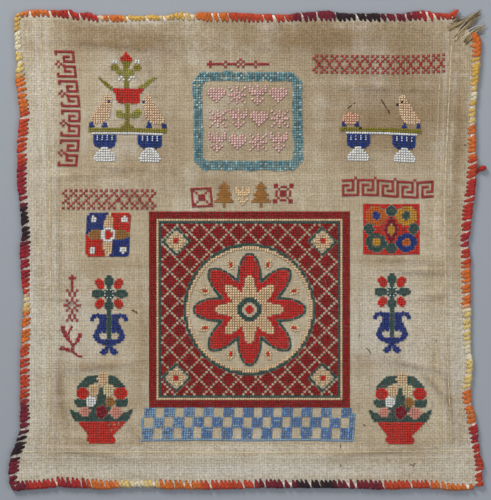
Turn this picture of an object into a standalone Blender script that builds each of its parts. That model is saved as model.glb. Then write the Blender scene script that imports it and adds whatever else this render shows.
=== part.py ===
"""Cross stitch sampler on natural linen canvas, lying flat and face up.

One square of canvas with slightly wavy edges, wrapped on all four sides by a thick
overcast of wool yarn. The top right corner has lost its overcast and is frayed, and a
short end of yarn stands out at the right edge.

Metres, +Z up. The sampler's top is +Y, its right side is +X, and the origin is on the
surface that it lies on, under the middle of its outline.

Places on the cloth are written in millimetres across (to the right) and down, from a
datum corner up and to the left of the sampler.
"""

import math
import random

import bmesh
import bpy

MM = 0.001

# The datum corner, seen from the middle of the outline, in millimetres.
CENTRE_ACROSS = 247.3
CENTRE_DOWN = 250.3

# Canvas and wool, in millimetres.
CLOTH_THICKNESS = 1.1
WOOL_UNDER = 1.4
WOOL_OVER = 1.5
FIT_GAP = 0.3
CLOTH_INSET = 3.6
POCKET_INSET = 1.3
POCKET_FLAT = 9.5
RIM_FALL = 34.0

# Height of the canvas's lower face inside the edging.
RIM_LIFT = WOOL_UNDER + FIT_GAP
POCKET_TOP = RIM_LIFT + CLOTH_THICKNESS + FIT_GAP
EDGING_TOP = POCKET_TOP + WOOL_OVER

# Cells of the canvas between its two rim lines, each way.
CLOTH_CELLS = 25

# Wraps of yarn lie in small groups, with a dip between each two groups.
GROUP_PITCH = 12.0
GROUP_SPREAD = 0.18
GROUP_SLANT = 2.4
SLANT_FADE = 14.0
DIP_IN = 0.75
DIP_DOWN = 0.55
DIP_SHORT = 1.5
CREST_SHARE = 0.62

# Rows: (along the side, outer edge of the wool, width of the worked band).
# Along and outer edge are millimetres down or across from the datum corner.
LEFT_SIDE = (
    (14.0, 16.5, 4.6),
    (20.0, 14.3, 6.0),
    (50.0, 15.0, 6.0),
    (64.0, 16.8, 6.5),
    (80.0, 15.3, 9.5),
    (95.0, 17.6, 9.6),
    (112.0, 20.0, 9.0),
    (128.0, 18.6, 9.4),
    (145.0, 17.3, 9.5),
    (178.0, 16.8, 9.5),
    (205.0, 19.8, 8.0),
    (232.0, 21.7, 8.0),
    (248.0, 20.0, 10.0),
    (278.0, 21.0, 9.0),
    (297.0, 23.6, 6.4),
    (335.0, 21.7, 8.3),
    (360.0, 20.2, 9.0),
    (430.0, 20.0, 9.2),
    (441.0, 16.5, 9.6),
    (457.0, 10.6, 9.6),
    (466.0, 8.8, 10.0),
    (482.0, 9.0, 8.4),
    (489.3, 12.0, 5.2),
)
RIGHT_SIDE = (
    (33.0, 477.2, 5.6),
    (39.0, 481.0, 9.4),
    (52.0, 481.2, 9.0),
    (72.0, 479.5, 8.3),
    (92.0, 477.0, 6.4),
    (115.0, 475.3, 7.0),
    (150.0, 476.0, 8.0),
    (163.0, 477.6, 9.2),
    (178.0, 476.0, 9.0),
    (198.0, 475.3, 10.2),
    (208.0, 472.4, 9.4),
    (228.0, 470.9, 8.8),
    (242.0, 468.5, 7.8),
    (262.0, 470.8, 9.6),
    (300.0, 470.9, 9.0),
    (345.0, 470.8, 7.0),
    (364.0, 473.0, 7.2),
    (393.0, 471.0, 9.0),
    (403.0, 471.6, 8.0),
    (417.0, 476.0, 9.5),
    (434.0, 478.0, 8.0),
    (450.0, 479.8, 6.8),
    (466.0, 483.4, 8.0),
    (476.0, 482.2, 7.0),
    (484.0, 483.0, 7.4),
    (488.3, 480.4, 4.9),
)
TOP_SIDE = (
    (21.0, 12.5, 5.0),
    (31.0, 10.0, 7.0),
    (48.0, 10.2, 6.8),
    (70.0, 10.2, 8.4),
    (77.0, 12.8, 7.2),
    (87.0, 12.2, 8.0),
    (99.0, 15.4, 6.0),
    (112.0, 15.0, 7.0),
    (128.0, 15.8, 5.6),
    (164.0, 15.3, 5.2),
    (182.0, 12.4, 7.8),
    (192.0, 14.3, 6.2),
    (202.0, 12.4, 9.0),
    (234.0, 12.8, 8.7),
    (262.0, 14.3, 7.7),
    (288.0, 14.5, 7.5),
    (299.0, 12.5, 9.0),
    (329.0, 11.0, 9.9),
    (341.0, 13.4, 7.6),
    (400.0, 13.8, 7.6),
    (423.0, 10.8, 9.8),
    (436.0, 13.0, 6.6),
    (448.0, 13.8, 5.4),
    (457.0, 11.6, 6.6),
)
BOTTOM_SIDE = (
    (17.7, 490.8, 9.4),
    (30.0, 489.6, 9.0),
    (46.0, 488.0, 8.8),
    (60.0, 486.8, 9.8),
    (76.0, 488.0, 9.8),
    (105.0, 489.5, 9.6),
    (118.0, 487.9, 8.2),
    (150.0, 486.9, 7.2),
    (172.0, 489.2, 9.0),
    (232.0, 489.2, 9.0),
    (262.0, 487.8, 8.2),
    (330.0, 487.8, 7.9),
    (386.0, 489.5, 9.0),
    (425.0, 488.3, 8.0),
    (440.0, 489.1, 8.0),
    (453.0, 490.7, 7.4),
    (474.6, 489.6, 6.0),
)

# Corners of the canvas itself, (across, down). The top right one is worn away.
CORNER_TOP_LEFT = (18.3, 16.0)
CORNER_TOP_RIGHT = (464.5, 26.0)
CORNER_BOTTOM_LEFT = (13.6, 487.0)
CORNER_BOTTOM_RIGHT = (479.4, 485.6)

# Low puckers in the canvas.
# Rows: (across, down, half length, half width, turn in degrees, height).
PUCKERS = (
    (105.0, 456.0, 58.0, 14.0, 4.0, 2.4),
    (214.0, 459.0, 44.0, 13.0, -5.0, 2.0),
    (330.0, 457.0, 50.0, 13.0, 3.0, 1.6),
    (438.0, 444.0, 40.0, 15.0, 68.0, 2.6),
    (444.0, 250.0, 70.0, 14.0, 88.0, 1.8),
    (51.0, 372.0, 66.0, 14.0, 92.0, 2.0),
    (45.0, 118.0, 56.0, 14.0, 87.0, 1.7),
    (236.0, 41.0, 90.0, 13.0, 1.0, 1.6),
    (402.0, 330.0, 42.0, 14.0, 38.0, 1.3),
    (150.0, 180.0, 40.0, 14.0, -20.0, 1.1),
)

# The canvas lies on the surface but for a slight slow wave, which fades out round a
# flat spot under its middle.
WAVE_HEIGHT = 0.3
WAVE_ACROSS = 97.0
WAVE_DOWN = 118.0
FLAT_SPOT = 14.0
WAVE_FULL = 70.0

# The yarn end: rows of (across, down, height of its middle, radius).
YARN_END_PATH = (
    (476.9, 173.3, 1.1, 1.1),
    (478.6, 171.2, 1.1, 1.0),
    (480.3, 169.9, 1.6, 1.5),
    (482.3, 168.2, 2.4, 2.4),
    (483.8, 166.4, 2.2, 2.2),
    (484.8, 165.0, 1.5, 1.2),
)

# The frayed corner: a root strip along the worn edge, and loose threads that
# sweep out from it and lie on the surface.
STRIP_START = (457.7, 18.3)
STRIP_END = (472.6, 31.8)
STRIP_WIDTH = 1.4
STRIP_HEIGHT = 2.0
THREAD_HEIGHT = 1.0
THREAD_STEPS = 4
# Rows: (length, direction at its root, direction at its tip), degrees from +X.
FRAYED_THREADS = (
    (9.0, 46.0, 30.0),
    (15.0, 44.0, 26.0),
    (21.5, 40.0, 24.0),
    (17.0, 41.0, 27.0),
    (8.0, 44.0, 34.0),
    (12.0, 42.0, 30.0),
    (15.5, 43.0, 28.0),
    (13.5, 41.0, 22.0),
    (7.0, 38.0, 25.0),
)

COLLECTION_NAME = "cross_stitch_sampler"


def place(across, down, height=0.0):
    """A point of the model from its place on the sampler, in millimetres."""
    return ((across - CENTRE_ACROSS) * MM, (CENTRE_DOWN - down) * MM, height * MM)


def read_row(rows, along, column):
    """A column of a side's table at any place along it, eased between its rows."""
    if along <= rows[0][0]:
        return rows[0][column]
    for low, high in zip(rows, rows[1:]):
        if along <= high[0]:
            share = (along - low[0]) / (high[0] - low[0])
            eased = share * share * (3.0 - 2.0 * share)
            return low[column] + (high[column] - low[column]) * eased
    return rows[-1][column]


def mix(low, high, share):
    """The value a given share of the way from low to high."""
    return low + (high - low) * share


def smooth_step(low, high, value):
    """0 below low, 1 above high, and an eased rise between them."""
    share = min(max((value - low) / (high - low), 0.0), 1.0)
    return share * share * (3.0 - 2.0 * share)


def cloth_left(share):
    """Left edge of the canvas, from its top to its bottom."""
    if share <= 0.0:
        return CORNER_TOP_LEFT
    if share >= 1.0:
        return CORNER_BOTTOM_LEFT
    down = mix(CORNER_TOP_LEFT[1], CORNER_BOTTOM_LEFT[1], share)
    return (read_row(LEFT_SIDE, down, 1) + CLOTH_INSET, down)


def cloth_right(share):
    """Right edge of the canvas, from its top to its bottom."""
    if share <= 0.0:
        return CORNER_TOP_RIGHT
    if share >= 1.0:
        return CORNER_BOTTOM_RIGHT
    down = mix(CORNER_TOP_RIGHT[1], CORNER_BOTTOM_RIGHT[1], share)
    return (read_row(RIGHT_SIDE, down, 1) - CLOTH_INSET, down)


def cloth_top(share):
    """Top edge of the canvas, from its left to its right."""
    if share <= 0.0:
        return CORNER_TOP_LEFT
    if share >= 1.0:
        return CORNER_TOP_RIGHT
    across = mix(CORNER_TOP_LEFT[0], CORNER_TOP_RIGHT[0], share)
    return (across, read_row(TOP_SIDE, across, 1) + CLOTH_INSET)


def cloth_bottom(share):
    """Bottom edge of the canvas, from its left to its right."""
    if share <= 0.0:
        return CORNER_BOTTOM_LEFT
    if share >= 1.0:
        return CORNER_BOTTOM_RIGHT
    across = mix(CORNER_BOTTOM_LEFT[0], CORNER_BOTTOM_RIGHT[0], share)
    return (across, read_row(BOTTOM_SIDE, across, 1) - CLOTH_INSET)


def cloth_point(u, v):
    """A point of the canvas as a patch between its four edges."""
    result = []
    for axis in (0, 1):
        sides = mix(cloth_left(v)[axis], cloth_right(v)[axis], u)
        ends = mix(cloth_top(u)[axis], cloth_bottom(u)[axis], v)
        top = mix(CORNER_TOP_LEFT[axis], CORNER_TOP_RIGHT[axis], u)
        bottom = mix(CORNER_BOTTOM_LEFT[axis], CORNER_BOTTOM_RIGHT[axis], u)
        result.append(sides + ends - mix(top, bottom, v))
    return tuple(result)


def pucker_height(across, down):
    """Height that the low puckers give the canvas at a place, none under its middle."""
    height = 0.0
    for middle_across, middle_down, half_length, half_width, turn, rise in PUCKERS:
        angle = math.radians(turn)
        east = across - middle_across
        south = down - middle_down
        along = (east * math.cos(angle) + south * math.sin(angle)) / half_length
        beside = (south * math.cos(angle) - east * math.sin(angle)) / half_width
        height += rise * math.exp(-along * along - beside * beside)
    from_middle = math.hypot(across - CENTRE_ACROSS, down - CENTRE_DOWN)
    return height * smooth_step(FLAT_SPOT, WAVE_FULL, from_middle)


def wave_height(across, down):
    """Height of the slow wave, never below the surface."""
    crossing = math.sin(math.tau * across / WAVE_ACROSS) * math.sin(math.tau * down / WAVE_DOWN)
    from_middle = math.hypot(across - CENTRE_ACROSS, down - CENTRE_DOWN)
    return WAVE_HEIGHT * (1.0 + crossing) / 2.0 * smooth_step(FLAT_SPOT, WAVE_FULL, from_middle)


def cloth_height(across, down, from_edge):
    """Height of the canvas's lower face: held up in the edging, and low in the middle."""
    free = smooth_step(POCKET_FLAT, RIM_FALL, from_edge)
    rise = pucker_height(across, down) + wave_height(across, down)
    return mix(RIM_LIFT, 0.0, free) + rise * free


def new_material(name, colour, roughness):
    """A plain material of one colour and roughness."""
    material = bpy.data.materials.new(name)
    material.use_nodes = True
    shader = material.node_tree.nodes["Principled BSDF"]
    shader.inputs["Base Color"].default_value = (*colour, 1.0)
    shader.inputs["Roughness"].default_value = roughness
    shader.inputs["Metallic"].default_value = 0.0
    return material


def add_part(name, mesh, material, collection):
    """One named object of the sampler, with its material."""
    part = bpy.data.objects.new(name, mesh)
    part.data.materials.append(material)
    collection.objects.link(part)
    return part


def grid_shares(length):
    """Shares of the grid lines: one at each rim line, and the rest evenly between."""
    rim = POCKET_FLAT / length
    inner = [mix(rim, 1.0 - rim, step / CLOTH_CELLS) for step in range(CLOTH_CELLS + 1)]
    return [0.0, *inner, 1.0]


def make_cloth(collection):
    """The square of canvas: a grid laid on the patch, given its thickness."""
    width = CORNER_BOTTOM_RIGHT[0] - CORNER_TOP_LEFT[0]
    height = CORNER_BOTTOM_LEFT[1] - CORNER_TOP_LEFT[1]
    columns = grid_shares(width)
    rows = grid_shares(height)
    cells = len(columns) - 1
    shape = bmesh.new()
    bmesh.ops.create_grid(shape, x_segments=cells, y_segments=cells, size=0.5)
    for vertex in shape.verts:
        u = columns[round((vertex.co.x + 0.5) * cells)]
        v = rows[round((0.5 - vertex.co.y) * cells)]
        across, down = cloth_point(u, v)
        from_edge = min(u * width, (1.0 - u) * width, v * height, (1.0 - v) * height)
        vertex.co = place(across, down, cloth_height(across, down, from_edge))
    mesh = bpy.data.meshes.new("cloth")
    shape.to_mesh(mesh)
    shape.free()
    mesh.shade_smooth()
    cloth = add_part("cloth", mesh, new_material("linen_canvas", (0.50, 0.42, 0.30), 0.9), collection)
    thickness = cloth.modifiers.new("thickness", "SOLIDIFY")
    thickness.thickness = CLOTH_THICKNESS * MM
    thickness.offset = 1.0
    return cloth


def ring_places(start, end, seed):
    """Places along a side where a section is set, each with its rise from dip to crest."""
    picker = random.Random(seed)
    count = round((end - start) / GROUP_PITCH)
    marks = [start]
    for step in range(1, count):
        shift = picker.uniform(-GROUP_SPREAD, GROUP_SPREAD) * GROUP_PITCH
        marks.append(start + (end - start) * step / count + shift)
    marks.append(end)
    places = []
    for low, high in zip(marks, marks[1:]):
        middle = (low + high) / 2.0
        reach = (high - low) * CREST_SHARE / 2.0
        crest = picker.uniform(0.8, 1.0)
        places.append((low, 0.0))
        places.append((middle - reach, crest))
        places.append((middle + reach, crest))
    places.append((end, 0.0))
    return places


def edging_section(width, rise):
    """Section of the wool: (inward distance, height) points round its open pocket."""
    dip = 1.0 - rise
    nose = DIP_IN * dip
    top = EDGING_TOP - DIP_DOWN * dip
    reach = width - DIP_SHORT * dip
    return (
        (reach, 0.0),
        (nose + 1.2, 0.0),
        (nose, 1.6),
        (nose, 3.0),
        (nose + 1.5, top),
        (reach - 0.4, top - 0.7),
        (reach, POCKET_TOP),
        (POCKET_INSET, POCKET_TOP),
        (POCKET_INSET, WOOL_UNDER),
        (reach, WOOL_UNDER),
    )


def make_edging(name, rows, locate, clockwise, seed, material, collection):
    """One side of the overcast: a loft of its sections along the side."""
    start = rows[0][0]
    end = rows[-1][0]
    shape = bmesh.new()
    rings = []
    for along, rise in ring_places(start, end, seed):
        width = read_row(rows, along, 2)
        fade = min(1.0, (along - start) / SLANT_FADE, (end - along) / SLANT_FADE)
        ring = []
        for inward, height in edging_section(width, rise):
            slanted = along + clockwise * GROUP_SLANT * fade * inward / width
            across, down = locate(slanted, read_row(rows, slanted, 1), inward)
            ring.append(shape.verts.new(place(across, down, height)))
        rings.append(ring)
    for low, high in zip(rings, rings[1:]):
        for index in range(len(low)):
            following = (index + 1) % len(low)
            shape.faces.new((low[index], low[following], high[following], high[index]))
    shape.faces.new(rings[0])
    shape.faces.new(rings[-1])
    bmesh.ops.recalc_face_normals(shape, faces=shape.faces)
    mesh = bpy.data.meshes.new(name)
    shape.to_mesh(mesh)
    shape.free()
    mesh.shade_smooth()
    mesh.set_sharp_from_angle(angle=math.radians(50.0))
    return add_part(name, mesh, material, collection)


def at_left(along, outer, inward):
    """Left side: along runs down, and inward is to the right."""
    return (outer + inward, along)


def at_right(along, outer, inward):
    """Right side: along runs down, and inward is to the left."""
    return (outer - inward, along)


def at_top(along, outer, inward):
    """Top side: along runs to the right, and inward is down."""
    return (along, outer + inward)


def at_bottom(along, outer, inward):
    """Bottom side: along runs to the right, and inward is up."""
    return (along, outer - inward)


def make_edgings(collection):
    """The four sides of the overcast, all slanting the same way round."""
    sides = (
        ("edging_top", TOP_SIDE, at_top, 1.0, 11, (0.33, 0.05, 0.03)),
        ("edging_right", RIGHT_SIDE, at_right, 1.0, 23, (0.52, 0.16, 0.03)),
        ("edging_bottom", BOTTOM_SIDE, at_bottom, -1.0, 37, (0.42, 0.05, 0.03)),
        ("edging_left", LEFT_SIDE, at_left, -1.0, 41, (0.42, 0.07, 0.03)),
    )
    for name, rows, locate, clockwise, seed, colour in sides:
        material = new_material(name + "_wool", colour, 0.85)
        make_edging(name, rows, locate, clockwise, seed, material, collection)


def make_yarn_end(collection):
    """The short loose end of yarn with its thick tip, as a bevelled curve."""
    curve = bpy.data.curves.new("yarn_end", "CURVE")
    curve.dimensions = "3D"
    curve.bevel_depth = MM
    curve.bevel_resolution = 2
    curve.use_fill_caps = True
    spline = curve.splines.new("POLY")
    spline.points.add(len(YARN_END_PATH) - 1)
    for point, (across, down, height, radius) in zip(spline.points, YARN_END_PATH):
        point.co = (*place(across, down, height), 1.0)
        point.radius = radius
    spline.use_smooth = True
    add_part("yarn_end", curve, new_material("yarn_end_wool", (0.45, 0.05, 0.03), 0.85), collection)


def thread_ring(across, down, direction, width, height):
    """Four corners of a thread's section, its underside on the surface."""
    beside = math.radians(direction + 90.0)
    east = math.cos(beside) * width / 2.0
    north = math.sin(beside) * width / 2.0
    return (
        place(across + east, down - north, 0.0),
        place(across - east, down + north, 0.0),
        place(across - east, down + north, height),
        place(across + east, down - north, height),
    )


def make_frayed_corner(collection):
    """The root strip, with every second face of its outer side drawn out into a thread."""
    count = 2 * len(FRAYED_THREADS) + 1
    run = (STRIP_END[0] - STRIP_START[0], STRIP_END[1] - STRIP_START[1])
    length = math.hypot(*run)
    outward = (run[1] / length, -run[0] / length)
    cell = length / count
    shape = bmesh.new()
    stations = []
    for step in range(count + 1):
        inner = (STRIP_START[0] + run[0] * step / count, STRIP_START[1] + run[1] * step / count)
        outer = (inner[0] + outward[0] * STRIP_WIDTH, inner[1] + outward[1] * STRIP_WIDTH)
        stations.append([
            shape.verts.new(place(*inner, 0.0)),
            shape.verts.new(place(*outer, 0.0)),
            shape.verts.new(place(*outer, THREAD_HEIGHT)),
            shape.verts.new(place(*outer, STRIP_HEIGHT)),
            shape.verts.new(place(*inner, STRIP_HEIGHT)),
        ])
    for step in range(count):
        low = stations[step]
        high = stations[step + 1]
        for index in (0, 2, 3, 4):
            following = (index + 1) % 5
            shape.faces.new((low[index], low[following], high[following], high[index]))
        if step % 2 == 0:
            shape.faces.new((low[1], low[2], high[2], high[1]))
            continue
        thread = FRAYED_THREADS[step // 2]
        middle = (step + 0.5) / count
        across = STRIP_START[0] + run[0] * middle + outward[0] * STRIP_WIDTH
        down = STRIP_START[1] + run[1] * middle + outward[1] * STRIP_WIDTH
        draw_thread(shape, (low[1], high[1], high[2], low[2]), across, down, thread, cell)
    shape.faces.new(stations[0])
    shape.faces.new(stations[-1])
    bmesh.ops.recalc_face_normals(shape, faces=shape.faces)
    mesh = bpy.data.meshes.new("frayed_corner")
    shape.to_mesh(mesh)
    shape.free()
    add_part("frayed_corner", mesh, new_material("linen_threads", (0.44, 0.36, 0.25), 0.9), collection)


def draw_thread(shape, root, across, down, thread, cell):
    """A thread drawn out from a face of the strip, getting thinner to its tip."""
    length, first_direction, last_direction = thread
    previous = root
    for step in range(1, THREAD_STEPS + 1):
        share = step / THREAD_STEPS
        direction = mix(first_direction, last_direction, share)
        across += math.cos(math.radians(direction)) * length / THREAD_STEPS
        down -= math.sin(math.radians(direction)) * length / THREAD_STEPS
        width = mix(cell, 0.35 * cell, share)
        height = mix(THREAD_HEIGHT, 0.4 * THREAD_HEIGHT, share)
        corners = thread_ring(across, down, direction, width, height)
        ring = [shape.verts.new(corner) for corner in corners]
        for index in range(4):
            following = (index + 1) % 4
            shape.faces.new((previous[index], previous[following], ring[following], ring[index]))
        previous = ring
    shape.faces.new(previous)


def main():
    """Clear the scene and build the sampler."""
    for old in list(bpy.data.objects):
        bpy.data.objects.remove(old, do_unlink=True)
    collection = bpy.data.collections.new(COLLECTION_NAME)
    bpy.context.scene.collection.children.link(collection)
    make_cloth(collection)
    make_edgings(collection)
    make_yarn_end(collection)
    make_frayed_corner(collection)


main()
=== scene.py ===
"""Looks of a cross stitch sampler: linen canvas, wool cross stitch, overcast edging and frayed corner.

Metres, +Z up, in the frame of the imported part. Places on the cloth are written in
millimetres across (to the right) and down, from the part's datum corner up and to the
left of the sampler.
"""

import math
from collections import namedtuple

import bpy
import numpy as np
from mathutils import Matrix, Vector


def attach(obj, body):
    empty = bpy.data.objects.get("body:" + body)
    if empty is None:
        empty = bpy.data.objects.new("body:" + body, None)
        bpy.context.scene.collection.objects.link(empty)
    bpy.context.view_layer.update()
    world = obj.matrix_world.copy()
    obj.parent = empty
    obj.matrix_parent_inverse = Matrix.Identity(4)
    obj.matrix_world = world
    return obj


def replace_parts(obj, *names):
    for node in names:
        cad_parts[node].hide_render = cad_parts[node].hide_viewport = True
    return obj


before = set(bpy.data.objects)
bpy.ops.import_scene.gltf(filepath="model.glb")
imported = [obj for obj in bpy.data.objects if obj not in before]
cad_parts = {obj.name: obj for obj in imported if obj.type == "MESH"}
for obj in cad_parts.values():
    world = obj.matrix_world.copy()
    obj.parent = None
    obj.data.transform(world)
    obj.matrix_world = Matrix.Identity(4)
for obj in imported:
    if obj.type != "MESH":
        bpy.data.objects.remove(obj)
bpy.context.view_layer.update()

MM = 0.001
BODY = "root"
UP = np.array((0.0, 0.0, 1.0))

# The datum corner, and the middle of the image, in millimetres.
CENTRE_ACROSS = 247.3
CENTRE_DOWN = 250.3
VIEW_ACROSS = 245.5
VIEW_DOWN = 250.0
VIEW_WIDTH = 491.0
VIEW_DISTANCE = 2.2
SENSOR_WIDTH = 36.0

# The canvas as the part has it.
CLOTH_THICKNESS = 1.1
WOOL_UNDER = 1.4
FIT_GAP = 0.3
CLOTH_INSET = 3.6
POCKET_FLAT = 9.5
RIM_FALL = 34.0
RIM_LIFT = WOOL_UNDER + FIT_GAP
CLOTH_CELLS = 25

# The canvas as it looks: thin linen above the backs of the stitches.
LINEN_THICKNESS = 0.72
LINEN_LIFT = CLOTH_THICKNESS - LINEN_THICKNESS
CANVAS_COLUMNS = 184
CANVAS_ROWS = 186
THREAD_PITCH = 1.25
CROSS_PITCH = 2.45
FINE = 6

# Rows: (along the side, outer edge of the wool, width of the worked band).
LEFT_SIDE = (
    (14.0, 16.5, 4.6),
    (20.0, 14.3, 6.0),
    (50.0, 15.0, 6.0),
    (64.0, 16.8, 6.5),
    (80.0, 15.3, 9.5),
    (95.0, 17.6, 9.6),
    (112.0, 20.0, 9.0),
    (128.0, 18.6, 9.4),
    (145.0, 17.3, 9.5),
    (178.0, 16.8, 9.5),
    (205.0, 19.8, 8.0),
    (232.0, 21.7, 8.0),
    (248.0, 20.0, 10.0),
    (278.0, 21.0, 9.0),
    (297.0, 23.6, 6.4),
    (335.0, 21.7, 8.3),
    (360.0, 20.2, 9.0),
    (430.0, 20.0, 9.2),
    (441.0, 16.5, 9.6),
    (457.0, 10.6, 9.6),
    (466.0, 8.8, 10.0),
    (482.0, 9.0, 8.4),
    (489.3, 12.0, 5.2),
)
RIGHT_SIDE = (
    (33.0, 477.2, 5.6),
    (39.0, 481.0, 9.4),
    (52.0, 481.2, 9.0),
    (72.0, 479.5, 8.3),
    (92.0, 477.0, 6.4),
    (115.0, 475.3, 7.0),
    (150.0, 476.0, 8.0),
    (163.0, 477.6, 9.2),
    (178.0, 476.0, 9.0),
    (198.0, 475.3, 10.2),
    (208.0, 472.4, 9.4),
    (228.0, 470.9, 8.8),
    (242.0, 468.5, 7.8),
    (262.0, 470.8, 9.6),
    (300.0, 470.9, 9.0),
    (345.0, 470.8, 7.0),
    (364.0, 473.0, 7.2),
    (393.0, 471.0, 9.0),
    (403.0, 471.6, 8.0),
    (417.0, 476.0, 9.5),
    (434.0, 478.0, 8.0),
    (450.0, 479.8, 6.8),
    (466.0, 483.4, 8.0),
    (476.0, 482.2, 7.0),
    (484.0, 483.0, 7.4),
    (488.3, 480.4, 4.9),
)
TOP_SIDE = (
    (21.0, 12.5, 5.0),
    (31.0, 10.0, 7.0),
    (48.0, 10.2, 6.8),
    (70.0, 10.2, 8.4),
    (77.0, 12.8, 7.2),
    (87.0, 12.2, 8.0),
    (99.0, 15.4, 6.0),
    (112.0, 15.0, 7.0),
    (128.0, 15.8, 5.6),
    (164.0, 15.3, 5.2),
    (182.0, 12.4, 7.8),
    (192.0, 14.3, 6.2),
    (202.0, 12.4, 9.0),
    (234.0, 12.8, 8.7),
    (262.0, 14.3, 7.7),
    (288.0, 14.5, 7.5),
    (299.0, 12.5, 9.0),
    (329.0, 11.0, 9.9),
    (341.0, 13.4, 7.6),
    (400.0, 13.8, 7.6),
    (423.0, 10.8, 9.8),
    (436.0, 13.0, 6.6),
    (448.0, 13.8, 5.4),
    (457.0, 11.6, 6.6),
)
BOTTOM_SIDE = (
    (17.7, 490.8, 9.4),
    (30.0, 489.6, 9.0),
    (46.0, 488.0, 8.8),
    (60.0, 486.8, 9.8),
    (76.0, 488.0, 9.8),
    (105.0, 489.5, 9.6),
    (118.0, 487.9, 8.2),
    (150.0, 486.9, 7.2),
    (172.0, 489.2, 9.0),
    (232.0, 489.2, 9.0),
    (262.0, 487.8, 8.2),
    (330.0, 487.8, 7.9),
    (386.0, 489.5, 9.0),
    (425.0, 488.3, 8.0),
    (440.0, 489.1, 8.0),
    (453.0, 490.7, 7.4),
    (474.6, 489.6, 6.0),
)

CORNER_TOP_LEFT = (18.3, 16.0)
CORNER_TOP_RIGHT = (464.5, 26.0)
CORNER_BOTTOM_LEFT = (13.6, 487.0)
CORNER_BOTTOM_RIGHT = (479.4, 485.6)
CLOTH_WIDTH = CORNER_BOTTOM_RIGHT[0] - CORNER_TOP_LEFT[0]
CLOTH_HEIGHT = CORNER_BOTTOM_LEFT[1] - CORNER_TOP_LEFT[1]

# Rows: (across, down, half length, half width, turn in degrees, height).
PUCKERS = (
    (105.0, 456.0, 58.0, 14.0, 4.0, 2.4),
    (214.0, 459.0, 44.0, 13.0, -5.0, 2.0),
    (330.0, 457.0, 50.0, 13.0, 3.0, 1.6),
    (438.0, 444.0, 40.0, 15.0, 68.0, 2.6),
    (444.0, 250.0, 70.0, 14.0, 88.0, 1.8),
    (51.0, 372.0, 66.0, 14.0, 92.0, 2.0),
    (45.0, 118.0, 56.0, 14.0, 87.0, 1.7),
    (236.0, 41.0, 90.0, 13.0, 1.0, 1.6),
    (402.0, 330.0, 42.0, 14.0, 38.0, 1.3),
    (150.0, 180.0, 40.0, 14.0, -20.0, 1.1),
)
WAVE_HEIGHT = 0.3
WAVE_ACROSS = 97.0
WAVE_DOWN = 118.0
FLAT_SPOT = 14.0
WAVE_FULL = 70.0

# Narrow creases of the linen. Rows: (across, down, half length, half width, turn, height).
CREASES = (
    (100.0, 366.0, 34.0, 3.2, -6.0, 0.7),
    (62.0, 398.0, 34.0, 3.6, 82.0, 1.1),
    (134.0, 432.0, 16.0, 3.0, 60.0, 0.6),
    (86.0, 452.0, 40.0, 3.0, 6.0, 0.6),
    (420.0, 366.0, 26.0, 2.8, 14.0, 0.9),
    (433.0, 384.0, 18.0, 3.0, 48.0, 1.2),
    (448.0, 398.0, 30.0, 3.2, 82.0, 0.9),
    (372.0, 452.0, 50.0, 3.0, -4.0, 0.6),
    (420.0, 271.0, 30.0, 2.8, 3.0, 1.0),
    (400.0, 260.0, 36.0, 3.2, 3.0, 0.6),
    (434.0, 296.0, 22.0, 3.0, -6.0, 0.7),
    (70.0, 300.0, 26.0, 3.0, 10.0, 0.6),
    (136.0, 196.0, 22.0, 3.0, 34.0, 0.6),
    (76.0, 176.0, 40.0, 3.2, -4.0, 0.6),
    (150.0, 70.0, 26.0, 3.2, 76.0, 0.6),
    (184.0, 60.0, 28.0, 3.2, 84.0, 0.6),
    (110.0, 44.0, 46.0, 3.4, 5.0, 0.6),
    (318.0, 60.0, 26.0, 3.0, 80.0, 0.5),
    (380.0, 88.0, 40.0, 3.2, 3.0, 0.5),
    (58.0, 250.0, 50.0, 3.4, 88.0, 0.6),
    (142.0, 322.0, 60.0, 3.0, 88.0, 0.7),
    (358.0, 318.0, 70.0, 3.0, 91.0, 0.7),
    (120.0, 168.0, 36.0, 3.0, 2.0, 0.6),
)

# The seam of the turned hem. Rows: (its way, places along it, places beside it).
HEM_SEAMS = (
    ("down", (18.0, 165.0, 330.0, 440.0, 490.0), (40.0, 49.0, 51.5, 48.5, 46.0)),
    ("down", (30.0, 198.0, 330.0, 433.0, 490.0), (452.0, 444.0, 445.6, 450.8, 453.0)),
    ("across", (20.0, 51.0, 250.0, 461.0, 480.0), (452.0, 451.0, 452.5, 450.5, 450.0)),
)
HEM_STEP = 1.6
DRAWN_LINES = (-4.5, 5.0)
DRAWN_WIDTH = 1.9

# How far dents, creases and the hem raise the linen.
SMALL_DENTS = 0.3
BROAD_DENTS = 0.6
CREASE_RISE = 2.6
HEM_RISE = 0.5


# Small maths.

def mix(low, high, share):
    """The value a given share of the way from low to high."""
    return low + (high - low) * share


def smooth_step(low, high, value):
    """0 below low, 1 above high, and an eased rise between them."""
    share = np.clip((value - low) / (high - low), 0.0, 1.0)
    return share * share * (3.0 - 2.0 * share)


def along_and_beside(east, south, degrees):
    """A shift as seen along a direction and beside it."""
    angle = math.radians(degrees)
    along = east * math.cos(angle) + south * math.sin(angle)
    return along, south * math.cos(angle) - east * math.sin(angle)


def swung(degrees, reach):
    """Across and down of a point at some distance in a direction."""
    angle = math.radians(degrees)
    return math.cos(angle) * reach, math.sin(angle) * reach


def circle(sides):
    """Corners of a polygon on a circle of radius 1."""
    return tuple((math.cos(math.tau * k / sides), math.sin(math.tau * k / sides)) for k in range(sides))


def read_row(rows, along, column):
    """A column of a side's table at places along it, eased between its rows."""
    marks = np.array([row[0] for row in rows])
    values = np.array([row[column] for row in rows])
    along = np.clip(np.asarray(along, float), marks[0], marks[-1])
    index = np.clip(np.searchsorted(marks, along, side="left") - 1, 0, len(marks) - 2)
    share = (along - marks[index]) / (marks[index + 1] - marks[index])
    return mix(values[index], values[index + 1], smooth_step(0.0, 1.0, share))


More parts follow.
